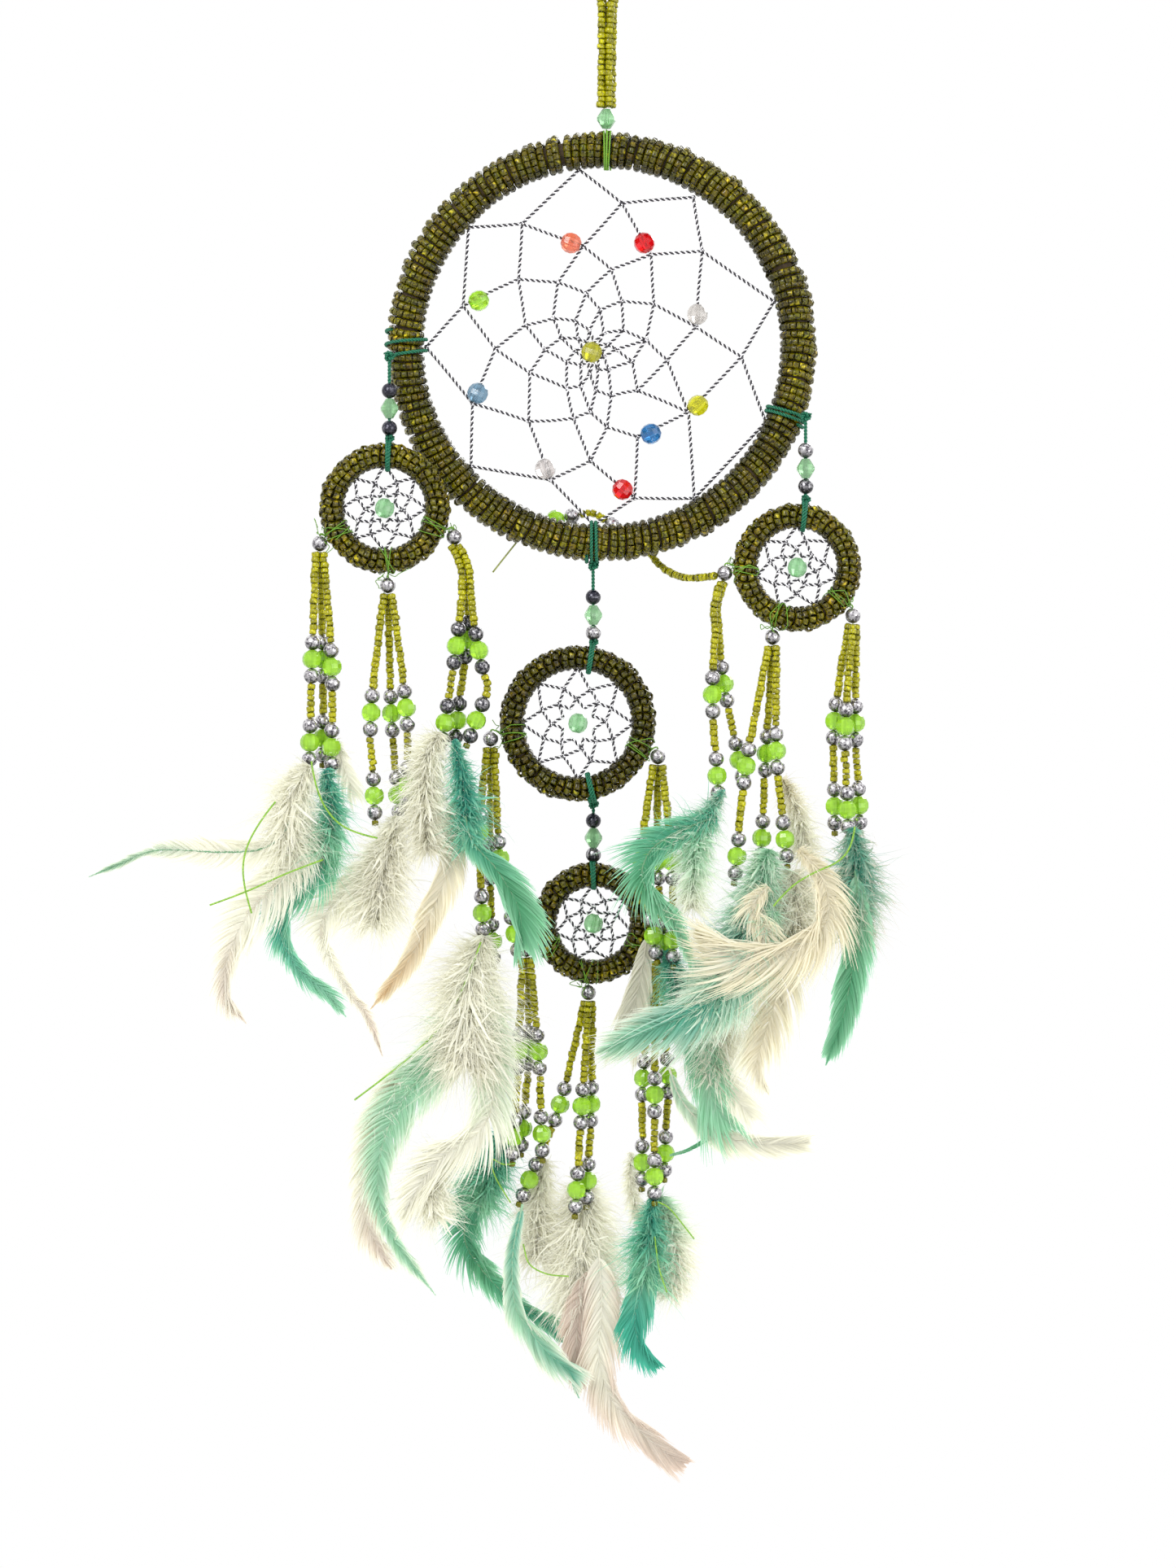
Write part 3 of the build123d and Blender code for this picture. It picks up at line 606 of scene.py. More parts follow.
def strandRoute(name, i, start, depth, groups):
    # the thread's points: from the top bead, straight through both bead groups, to the end seed
    x, z = tassels[name][1:3]
    offset = (i - 1) * strandLay["bunch"][0]
    first, second = [np.array([x + dx, depth, z + dz]) for dx, dz in groups]
    bow = [np.array([x + dx + offset, start[1] + (depth - start[1]) * dz / groups[0][1], z + dz])
           for dx, dz in strandLay["upperBows"].get(name, [])]
    low = [np.array([x + dx, depth, z + dz]) for dx, dz in strandLay["lowerBows"].get((name, i), [])]
    before = bow[-1] if bow else start
    axisA = unit((low[0] if low else second) - before)
    axisB = unit(second - (low[-1] if low else first))
    route = [start, *bow, first - axisA * groupHalf, first + axisA * groupHalf, *low,
             second - axisB * groupHalf,
             second + axisB * groupHalf, second + axisB * (groupHalf + strandLay["threadEnd"])]
    return route, first, second


def nearestOn(line, spot):
    # how far along the line it comes nearest to the spot
    steps = np.linalg.norm(np.diff(line, axis=0), axis=1)
    return float(np.concatenate([[0], np.cumsum(steps)])[np.argmin(np.linalg.norm(line - spot, axis=1))])


def strandPieces(tag, name, route, first, second, seed, dark=False):
    # thread, seeds, silver and lime beads and the end seed of one strand
    body, marks = bodyOf(name), [f"{name}_strands"]
    cord, line = cordCurve(f"{tag}Thread", route, nylon, body)
    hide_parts(*marks)
    dense = alongLine(line, np.linspace(0, lineLength(line), 900))[0]
    atA, atB = nearestOn(dense, first), nearestOn(dense, second)
    spans = [(0.1, atA - groupHalf), (atA + groupHalf, atB - groupHalf)]
    seeds = seedPiece(f"{tag}Seeds", line, spans, body, seed, marks)
    reach = stock["silver"] + stock["limeLength"] / 2
    spots, axes = alongLine(line, [atA - reach, atA + reach, atB - reach, atB + reach])
    skin = beads(spots, axes, "round", stock["silver"], stock["silver"])
    # the silver beads' tint is painted shade, darker towards each bead's foot
    silver = makeMesh(f"{tag}Silver", *skin, antiqueSkin if dark else silverSkin, body, tint=paintedFootShade(skin[0]),
                      marks=[f"{name}_beads"])
    spots, axes = alongLine(line, [atA, atB])
    rng = np.random.default_rng(seed)
    skin = beads(spots, axes, "faceted", stock["lime"], stock["limeLength"] / 2, rng.uniform(0, 6, 2))
    lime = makeMesh(f"{tag}Lime", *skin, limeGlass, body, smooth=False, marks=[f"{name}_beads"])
    last = strandLay["endSeed"]
    spots, axes = alongLine(line, [atB + groupHalf + last["below"]])
    skin = beads(spots, axes, "seed", last["radius"], last["half"])
    end = makeMesh(f"{tag}EndSeed", *skin, strandGlass, body, tint=np.full((len(skin[0]), 3), last["shade"]),
                   marks=marks)


def makeTassel(name, number):
    # two or three strands fanned out under a silver top bead, the middle one before or behind the others
    ring, x, z, middleFront, groups = tassels[name]
    y = rings[ring]["centre"][1]
    bunchX, bunchMid, bunchSide = strandLay["bunch"]
    for i, pair in enumerate(groups):
        front = middleFront if i == 1 else not middleFront
        side = -1 if front else 1
        bunchY = bunchMid if i == 1 else bunchSide
        start = np.array([x + (i - 1) * bunchX, y + side * bunchY, z - stock["silver"] - 0.15])
        depth = strandLay["depth"][ring] + side * strandLay["spread"]
        route, first, second = strandRoute(name, i, start, depth, pair)
        dark = (name, i) in strandLay["antique"]
        strandPieces(f"{name}Strand{i + 1}", name, route, first, second, number * 3 + i, dark)
    skin = beads([(x, y, z)], [up], "round", stock["silver"], stock["silver"])
    # the top bead's tint is painted shade, darker towards its foot
    makeMesh(f"{name}TopBead", *skin, silverSkin, bodyOf(name), tint=paintedFootShade(skin[0]),
             marks=[f"{name}_beads"])


def makeCaughtStrand():
    # the right ring's strand that is caught behind the main hoop: its bead groups lie midway between runs
    upper, lower, tail = caught["upper"], caught["lower"], caught["tail"]
    route = [np.array(p) for p in upper + lower + tail]
    first = (np.array(upper[-1]) + np.array(lower[0])) / 2
    second = (np.array(lower[-1]) + np.array(tail[0])) / 2
    strandPieces("right_tassel_aStrand3", "right_tassel_a", route, first, second, caught["seed"])


# Loose thread ends: the tassel each hangs from, its depth, and the way it hangs
tails = [
    ("left_tassel_a", -23.5, [(-80.8, -232.0), (-79.9, -238.5), (-76.3, -246.4), (-70.2, -251.4),
                              (-62.8, -252.9)]),
    ("left_tassel_a", -24.0, [(-90.5, -243.0), (-94.3, -247.5), (-99.2, -256.5), (-99.5, -265.5),
                              (-97.0, -273.4)]),
    ("left_tassel_a", -23.0, [(-77.6, -258.8), (-88.0, -262.5), (-98.0, -267.5), (-108.5, -271.2)]),
    ("middle_tassel_a", -6.6, [(-35.0, -281.7), (-38.5, -292.0), (-45.5, -304.9), (-56.0, -315.0),
                               (-69.8, -325.2)]),
    ("right_tassel_c", -22.0, [(67.2, -249.8), (66.5, -255.0), (63.0, -259.5), (55.5, -262.5), (49.0, -266.6),
                               (45.0, -271.5)]),
]


def makeTail(number, name, depth, points):
    # a bare thread through the points, at one depth
    route = [(x, depth, z) for x, z in points]
    cord, line = cordCurve(f"looseEnd{number + 1}", route, looseThread, bodyOf(name))
    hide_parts(f"{name}_strands")


makeLoop()
for number, name in enumerate(tassels):
    makeTassel(name, number)
makeCaughtStrand()
for number, spec in enumerate(tails):
    makeTail(number, *spec)
print("cords made")


# Turns of seeds on each ring, seeds in a turn, how bright they are, how turns slant and stray, and the
# places where they part: angle, width, and reach in degrees
wraps = {
    "main": {"turns": 152, "perTurn": 17, "tone": 0.84, "slant": 0.010, "loose": 0.0042,
             "gaps": [(101.3, 0.9, 4.0), (22.5, 0.6, 3.0)]},
    "left": {"turns": 43, "perTurn": 10, "tone": 0.92, "slant": 0.085, "loose": 0.012, "gaps": []},
    "right": {"turns": 41, "perTurn": 10, "tone": 0.95, "slant": 0.085, "loose": 0.012, "gaps": []},
    "middle": {"turns": 52, "perTurn": 10, "tone": 0.6, "slant": 0.070, "loose": 0.010, "gaps": []},
    "bottom": {"turns": 39, "perTurn": 10, "tone": 0.75, "slant": 0.085, "loose": 0.012, "gaps": []},
}
# How seeds vary in a wrap: along the turn, proud turns, off the core, tilt, size, and shade; their length
# over their share of a turn; the painted shade along a seed; and painted shade from the ring's inner edge to
# its outer
wrapSeeds = {
    "wander": 0.12,
    "proud": 0.28,
    "offCore": 0.03,
    "tilt": 0.06,
    "swell": (0.93, 1.06),
    "speckle": 0.07,
    "patches": 0.14,
    "hue": 0.05,
    "stretch": 1.14,
    "along": (0.72, 1.0, 1.0, 0.72, 0.7),
    "across": (0.4, 0.7, 1.0, 1.05),
    "paintedGlintTint": (5.0, 4.8, 14.0),
}


def smoothNoise(rng, at, knots):
    # random values at even knots, joined by straight lines
    return np.interp(at, np.linspace(at.min(), at.max(), knots), rng.normal(0, 1, knots))


def makeWrap(ring, seed):
    # seeds on one string that circles the core once a turn while it creeps round the ring
    spec, place, vary = rings[ring], wraps[ring], wrapSeeds
    rng = np.random.default_rng(seed)
    count = place["turns"] * place["perTurn"]
    turn = np.arange(count) / place["perTurn"]
    lane = np.floor(turn).astype(int)
    creep = 2 * np.pi * turn / place["turns"]
    loose = rng.normal(0, place["loose"], place["turns"] + 1)
    creep = creep + np.interp(turn, np.arange(place["turns"] + 1), loose)
    for angle, gap, reach in place["gaps"]:
        off = (creep - np.radians(angle) + np.pi) % (2 * np.pi) - np.pi
        creep = creep + np.sign(off) * np.exp(-np.abs(off) / np.radians(reach)) * gap / spec["radius"]
    around = 2 * np.pi * turn + vary["wander"] * smoothNoise(rng, turn, 60)
    lean = place["slant"] + 0.5 * place["loose"] * rng.normal(0, 1, place["turns"] + 1)
    creep = creep + lean[lane] * np.sin(around)
    proud = vary["proud"] * np.abs(rng.normal(0, 1, place["turns"] + 1))[lane] * (0.5 + 0.5 * np.cos(around))
    high = spec["core"] + 0.98 * stock["seed"] + rng.normal(0, vary["offCore"], count) + proud
    radial = np.stack([np.cos(creep), np.zeros(count), np.sin(creep)], -1)
    flat = spec["radius"] + high * np.cos(around)
    spots = np.array(spec["centre"]) + radial * flat[:, None]
    spots[:, 1] -= high * np.sin(around)
    axes = unit(np.gradient(spots, axis=0))
    axes = unit(axes + rng.normal(0, vary["tilt"], axes.shape))
    half = 0.5 * 2 * np.pi * (spec["core"] + stock["seed"]) / place["perTurn"]
    swell = rng.uniform(*vary["swell"], count)
    points, faces = beads(spots, axes, "tube", stock["seed"], vary["stretch"] * half,
                          rng.uniform(0, 6, count), swell)
    tone = place["tone"] * np.exp(rng.normal(0, vary["speckle"], count))
    tone = tone * np.exp(vary["patches"] * smoothNoise(rng, turn, 40))
    # painted shade: darker towards the ring's inner edge, where the turns crowd
    tone = tone * np.interp(np.cos(around), [-1.0, -0.5, 0.0, 1.0], vary["across"])
    shade = np.clip(tone[:, None] * (1 + vary["hue"] * rng.normal(0, 1, (count, 3))), 0.3, 2)
    # painted shade darkens each seed's ends and bore, and painted glints brighten a few points
    tint = perBead(shade, "tube", vary["along"]) * paintedGlints(rng, count, "tube", vary["paintedGlintTint"])
    makeMesh(f"{ring}WrapSeeds", points, faces, wrapGlass, spec["body"], tint=tint, marks=[f"{ring}_wrap"])


for number, ring in enumerate(rings):
    makeWrap(ring, 40 + number)
    core = bpy.data.objects[f"{ring}_hoop"]
    core.data.materials.clear()
    core.data.materials.append(cane)
print("wraps made")


# Nodes of the main net round by round, from the wrap inwards, across and up from the hoop's centre
webRounds = [
    [(-6.3, 48.8), (25.2, 41.2), (47.5, 12.4), (45.2, -20.9), (25.5, -42.0),
     (-2.3, -49.3), (-36.2, -33.1), (-48.6, -0.2), (-36.9, 32.9)],
    [(5.5, 39.6), (27.7, 26.3), (38.5, -2.9), (25.5, -42.0), (9.0, -41.9),
     (-14.3, -36.9), (-35.8, -15.8), (-38.4, 11.2), (-22.1, 33.9)],
    [(-5.2, 27.7), (13.6, 25.4), (26.0, 5.4), (23.9, -18.2), (9.8, -25.0),
     (-3.2, -31.7), (-20.3, -20.7), (-29.5, -0.7), (-23.1, 18.6)],
    [(2.6, 21.3), (14.3, 11.7), (18.0, -3.8), (9.8, -12.2), (1.4, -22.3),
     (-7.9, -19.9), (-20.0, -7.3), (-21.2, 5.9), (-12.2, 17.7)],
    [(-4.4, 14.7), (5.4, 12.5), (12.2, 1.8), (8.4, -4.2), (2.6, -13.7),
     (-3.2, -18.2), (-9.7, -11.6), (-15.8, -0.9), (-13.5, 7.7)],
    [(-0.5, 10.1), (5.9, 4.5), (3.8, -0.8), (1.8, -6.4), (-1.7, -12.2),
     (-5.9, -11.0), (-9.7, -4.4), (-11.3, 2.4), (-7.4, 7.0)],
]
webCentre = np.array([-2.9, -1.6])
webHooks = {(2, 4), (3, 3), (4, 3)}
# Thread from, thread to, how far along it, the bead's colour, and how far it sags below the thread
webBeads = [
    ((1, 8), (2, 0), 0.80, (1.0, 0.25, 0.13), 0.3),
    ((1, 0), (2, 1), 0.76, (0.85, 0.005, 0.012), 0.2),
    ((1, 7), (2, 8), 0.28, (0.50, 0.90, 0.06), 0.6),
    ((1, 1), (2, 2), 0.82, (0.82, 0.78, 0.74), 0.3),
    ((1, 6), (2, 7), 0.22, (0.22, 0.40, 0.55), 0.5),
    ((1, 2), (2, 3), 0.82, (0.82, 0.80, 0.01), 0.9),
    ((2, 3), (2, 4), 0.74, (0.05, 0.26, 0.60), 0.9),
    ((1, 5), (2, 6), 0.24, (0.85, 0.80, 0.78), 0.9),
    ((1, 4), (2, 5), 0.27, (0.85, 0.005, 0.012), 0.4),
]
starPoints = {"left": 8, "right": 7, "middle": 8, "bottom": 7}
# Thread of the nets: how far nodes stand off the plane and threads bow, the pitch of its plies, the hitch
# at each node, the shortest thread, and the last two rounds of the main net: how far in, and on the bead
netLay = {
    "lift": 0.12,
    "bow": 0.10,
    "pitch": 1.55,
    "hitchTurns": 1.7,
    "hitchRadius": 0.42,
    "hitchDepth": 0.35,
    "shortest": 0.85,
    "pulledIn": 0.6,
    "onBead": 2.9,
    "centreColour": (0.60, 0.58, 0.02),
}


def netThreads(rounds, hooks=()):
    # each node joins two nodes of the round outside it; odd rounds look ahead, even ones back
    threads = []
    for turn in range(1, len(rounds)):
        outer, inner = rounds[turn - 1], rounds[turn]
        for i, node in enumerate(inner):
            other = (i + 1) % len(inner) if turn % 2 else i - 1
            first = inner[i - 1] if (turn, i) in hooks else outer[other]
            threads += [(np.array(first), np.array(node)), (np.array(outer[i]), np.array(node))]
    return [(a, b) for a, b in threads if np.linalg.norm(b - a) > netLay["shortest"]]


def makeNet(ring, rounds, threads, seed):
    # plied threads between the nodes, bowed a little, with a small hitch at each: a coil round the node
    rng = np.random.default_rng(seed)
    centre = np.array(rings[ring]["centre"])
    skins = []
    for a, b in threads:
        lift = rng.normal(0, netLay["lift"], 2)
        ends = [centre + (a[0], lift[0], a[1]), centre + (b[0], lift[1], b[1])]
        middle = (ends[0] + ends[1]) / 2 + rng.normal(0, netLay["bow"], 3)
        path = smoothPath([ends[0], middle, ends[1]], 24)
        skins.append(pliedSkin(path, stock["webThread"], netLay["pitch"], 5, 0.28))
    wide, deep = netLay["hitchRadius"], netLay["hitchDepth"]
    for x, z in [node for nodes in rounds[:-1] for node in nodes]:
        angle = np.linspace(0, 2 * np.pi * netLay["hitchTurns"], 22) + rng.uniform(0, 6)
        coil = np.stack([x + wide * np.cos(angle), deep * np.sin(angle * 1.5), z + wide * np.sin(angle)], -1)
        skins.append(pliedSkin(centre + coil, 0.30, 1.2, 4, 0.25))
    points, faces, uv = joined(skins)
    makeMesh(f"{ring}Net", points, faces, metalThread, rings[ring]["body"], uv=uv, marks=[f"{ring}_web"])


def pulledIn(rounds, share):
    # the last round's middles, drawn to a share of their distance from the net's centre
    last = np.array(rounds[-1])
    return [tuple(p) for p in webCentre + share * ((last + np.roll(last, 1, 0)) / 2 - webCentre)]


def aroundBead(rounds, radius):
    # the last round's middles, drawn on to the centre bead
    last = np.array(rounds[-1])
    return [tuple(p) for p in webCentre + radius * unit((last + np.roll(last, -1, 0)) / 2 - webCentre)]


def makeMainNet():
    # the net with its two inmost rounds, a centre bead, and a bead at its share of the way along a thread
    rounds = webRounds + [pulledIn(webRounds, netLay["pulledIn"])]
    rounds.append(aroundBead(rounds, netLay["onBead"]))
    makeNet("main", rounds, netThreads(rounds, webHooks), 5)
    centre = np.array(rings["main"]["centre"])
    spots = [centre + (webCentre[0], 0, webCentre[1])]
    axes, colours = [(0.3, 0, 1)], [netLay["centreColour"]]
    for start, end, share, colour, sag in webBeads:
        a, b = [np.array(webRounds[r][i]) for r, i in (start, end)]
        flat = a + share * (b - a)
        spots.append(centre + (flat[0], 0, flat[1] - sag))
        axes.append((b[0] - a[0], 0, b[1] - a[1]))
        colours.append(colour)
    radius = stock["webBead"]
    points, faces = beads(spots, axes, "faceted", radius, 0.96 * radius, np.arange(len(spots)) * 0.7)
    makeMesh("webColourBeads", points, faces, webGlass, "hoop", smooth=False,
             tint=perBead(colours, "faceted"),
             marks=["web_beads"])


def starNodes(radius, points, first, rng, loose):
    # points spaced evenly round a circle from the first angle, each strayed a little
    angle = np.radians(first) + 2 * np.pi * np.arange(points) / points + rng.normal(0, loose, points)
    far = radius * (1 + rng.normal(0, loose * 0.6, points))
    return [tuple(p) for p in np.stack([far * np.cos(angle), far * np.sin(angle)], -1)]


def makeSmallNet(ring, seed):
    # a star from the wrap inwards in three rounds to a clear bead
    rng = np.random.default_rng(seed)
    spec, points = rings[ring], starPoints[ring]
    inner, between = spec["radius"] - spec["over"], 90 + 180 / points
    rounds = [starNodes(inner + 0.6, points, 90, rng, 0.0),
              starNodes(0.70 * inner, points, between, rng, 0.05),
              starNodes(0.48 * inner, points, 90, rng, 0.06),
              starNodes(0.30 * inner, points, between, rng, 0.05)]
    makeNet(ring, rounds, netThreads(rounds), seed + 1)
    clear = stock["clear"] + 0.15
    skin = beads([spec["centre"]], [(0.2, 0, 1)], "faceted", clear, clear)
    makeMesh(f"{ring}CentreBead", *skin, paleGlass, spec["body"], smooth=False, marks=[f"{ring}_beads"])


makeMainNet()
for number, ring in enumerate(starPoints):
    makeSmallNet(ring, 60 + 2 * number)
print("nets made")


# For each hanger: x, the knot's height on the ring above, the heights of three beads, and what each is
hangers = {
    "left": {"x": -60.1, "knot": -120.6, "beads": (-130.1, -135.0, -140.4),
             "kinds": ("dark", "clear", "dark")},
    "right": {"x": 54.3, "knot": -137.3, "beads": (-146.5, -151.5, -156.4),
              "kinds": ("silver", "clear", "antique")},
    "middle": {"x": -4.1, "knot": -177.8, "beads": (-186.5, -191.5, -196.4),
               "kinds": ("dark", "clear", "silver")},
    "bottom": {"x": -4.0, "knot": -243.7, "beads": (-248.4, -253.2, -257.9),
               "kinds": ("dark", "clear", "antique")},
}
hangerSkins = {"silver": silverSkin, "antique": antiqueSkin, "dark": darkSkin}
# Where each tie sits on the hoop above, in degrees, how far its turns spread, and its cord's and knot's sizes
ties = {
    "angles": {"left": 180.0, "right": -20.5, "middle": -92.6},
    "spreads": {"left": 8.5, "right": 3.2, "middle": 3.2, "bottom": 1.6},
    "pitch": 1.9,
    "knotPitch": 1.6,
    "footKnot": 1.25,
    "upperKnot": 1.35,
    "green": {"radius": 0.25, "pitch": 0.8},
    "thin": {"radius": 0.17, "end": 0.16, "endPitch": 0.7},
}


def roundRing(ring, angle, turns, radius, drift, phase=0.0):
    # turns of cord round a ring's wrap, creeping along it by the drift
    spec = rings[ring]
    t = np.linspace(0, 1, int(40 * turns))
    at = np.radians(angle) + (t - 0.5) * drift / spec["radius"]
    spin = 2 * np.pi * turns * t + phase
    high = spec["over"] + radius + 0.08
    flat = spec["radius"] + high * np.cos(spin)
    x, y, z = spec["centre"]
    return np.stack([x + flat * np.cos(at), y + high * np.sin(spin), z + flat * np.sin(at)], -1)


def knotPath(centre, size):
    # a closed trefoil in the upright plane: three lobes round the centre that go over and under
    t = np.linspace(0, 2 * np.pi, 64)
    far = 0.62 + 0.30 * np.cos(3 * t)
    return np.asarray(centre) + size * np.stack([far * np.cos(2 * t), 0.55 * np.sin(3 * t),
                                                 far * np.sin(2 * t)], -1)


def hangerFoot(ring):
    # the angle on the ring's outside straight below the hanger's knot, and the cord's point there
    spec, x = rings[ring], hangers[ring]["x"]
    far = spec["radius"] + spec["over"]
    angle = np.degrees(np.arccos((x - spec["centre"][0]) / far))
    out = far + stock["cord"]
    foot = (spec["centre"][0] + out * np.cos(np.radians(angle)), spec["centre"][1],
            spec["centre"][2] + out * np.sin(np.radians(angle)))
    return angle, np.array(foot)


def makeHanger(ring):
    # a straight cord from the knot above to the ring, turns round the ring, a knot, and beads on the cord
    spec, hanger, cord = rings[ring], hangers[ring], stock["cord"]
    angle, foot = hangerFoot(ring)
    top = np.array([hanger["x"], spec["centre"][1], hanger["knot"] - 1.4])
    knot = knotPath(foot + (0, 0, 1.0), ties["footKnot"])
    skins = [pliedSkin(np.linspace(top, foot + (0, 0, 0.4), 20), cord, ties["pitch"], 7, 0.2),
             pliedSkin(roundRing(ring, angle, 2.2, cord, 1.3, 0.4), cord, ties["pitch"], 6, 0.25),
             pliedSkin(knot, 0.8 * cord, ties["knotPitch"], 5, 0.2)]
    points, faces, uv = joined(skins)
    makeMesh(f"{ring}HangerCord", points, faces, greenCord, spec["body"], uv=uv, marks=[f"{ring}_threads"])
    axis = unit(foot - top)
    for number, (height, kind) in enumerate(zip(hanger["beads"], hanger["kinds"])):
        spot = foot + (height - foot[2]) / (top[2] - foot[2]) * (top - foot)
        name, marks = f"{ring}HangerBead{number + 1}", [f"{ring}_beads"]
        if kind == "clear":
            skin = beads([spot], [axis], "bicone", stock["clear"], stock["clearLength"] / 2, 0.3)
            makeMesh(name, *skin, paleGlass, spec["body"], smooth=False, marks=marks)
        else:
            skin = beads([spot], [axis], "round", stock["silver"], stock["silver"])
            # the bead's tint is painted shade, darker towards its foot
            makeMesh(name, *skin, hangerSkins[kind], spec["body"], tint=paintedFootShade(skin[0]), marks=marks)


def makeUpperTie(ring, above, angle, node):
    # the cord that is wound round the hoop above, and its knot, which the hanger swings on
    cord, spec = stock["cord"], rings[above]
    knot = np.array([hangers[ring]["x"], rings[ring]["centre"][1], hangers[ring]["knot"]])
    windings = roundRing(above, angle, 2.5, cord, ties["spreads"][ring], -0.8)
    near = windings[np.argmin(np.linalg.norm(windings - knot, axis=1))]
    bridge = smoothPath([near, (near + knot) / 2 + (0, 0, -0.3), knot], 20)
    skins = [pliedSkin(windings, cord, ties["pitch"], 6, 0.25),
             pliedSkin(bridge, cord, ties["pitch"], 6, 0.2),
             pliedSkin(knotPath(knot, ties["upperKnot"]), 0.85 * cord, ties["knotPitch"], 5, 0.2)]
    if above == "main":
        end = knot + np.array([-1.5 if ring == "left" else 1.6, -0.3, 0.7])
        stub = smoothPath([knot, (knot + end) / 2 + (0, 0, 0.4), end], 12)
        skins.append(pliedSkin(stub, 0.7 * cord, ties["knotPitch"], 5, 0.2))
    points, faces, uv = joined(skins)
    makeMesh(f"{ring}UpperTie", points, faces, greenCord, spec["body"], uv=uv, marks=[node])


def makeLoopTie():
    # two lots of light green turns round the hoop's top, side by side, and a short run up to the bead
    radius, pitch = ties["green"]["radius"], ties["green"]["pitch"]
    paths = [roundRing("main", 89, 2.4, radius, 1.6), roundRing("main", 88.2, 2.4, radius, -1.8, 1.0),
             np.linspace((-0.4, 0, -58.2), (-0.4, 0, -57.25), 8)]
    points, faces, uv = joined([pliedSkin(path, radius, pitch, 4, 0.2) for path in paths])
    makeMesh("loopTie", points, faces, limeThread, "hoop", uv=uv, marks=["main_ties"])


def makeTasselTie(name, seed):
    # light green thread round the ring, down through the top bead, and a loose tangle of ends
    ring, x, z = tassels[name][:3]
    spec, green, thin = rings[ring], ties["green"], ties["thin"]
    rng = np.random.default_rng(seed)
    centre = np.array(spec["centre"])
    angle = np.degrees(np.arctan2(z - centre[2], x - centre[0]))
    windings = roundRing(ring, angle, 4.2, thin["end"], 1.2, rng.uniform(0, 6))
    tangent = np.array([-np.sin(np.radians(angle)), 0, np.cos(np.radians(angle))])
    windings = windings + 1.5 * smoothNoise(rng, np.arange(len(windings)), 14)[:, None] * tangent
    top = np.array([x, centre[1], z + stock["silver"]])
    near = windings[np.argmin(np.linalg.norm(windings - top, axis=1))]
    down = smoothPath([near, (near + top) / 2 + (0, -0.2, 0.5), top, top - (0, 0, 2 * stock["silver"])], 24)
    skins = [pliedSkin(windings, thin["radius"], green["pitch"], 3, 0.25),
             pliedSkin(down, green["radius"], green["pitch"], 4, 0.22)]
    for _ in range(3):
        path = near + np.cumsum(rng.normal(0, 1.1, (6, 3)) * (1, 0.5, 1), axis=0)
        path[:, 1] = np.clip(path[:, 1], near[1] - 1.5, near[1] + 1.5) - 0.4
        path = smoothPath(np.vstack([near, path]), 40)
        skins.append(pliedSkin(path, thin["end"], thin["endPitch"], 3, 0.22))
    points, faces, uv = joined(skins)
    makeMesh(f"{name}Tie", points, faces, limeThread, spec["body"], uv=uv, marks=[f"{ring}_threads"])


for ring in hangers:
    makeHanger(ring)
for ring, angle in ties["angles"].items():
    makeUpperTie(ring, "main", angle, "main_ties")
centreX, _, centreZ = rings["middle"]["centre"]
lowerAngle = np.degrees(np.arctan2(hangers["bottom"]["knot"] - centreZ, hangers["bottom"]["x"] - centreX))
makeUpperTie("bottom", "middle", lowerAngle, "middle_threads")
makeLoopTie()
for number, name in enumerate(tassels):
    makeTasselTie(name, 200 + number)
print("ties made")


shades = {
    "teal": (0.075, 0.49, 0.35),
    "deepTeal": (0.025, 0.42, 0.33),
    "green": (0.12, 0.46, 0.23),
    "mint": (0.40, 0.72, 0.50),
    "white": (0.93, 0.92, 0.81),
    "cream": (0.88, 0.83, 0.66),
    "tan": (0.78, 0.55, 0.25),
    "pink": (0.75, 0.64, 0.55),
    "grey": (0.80, 0.78, 0.66),
}
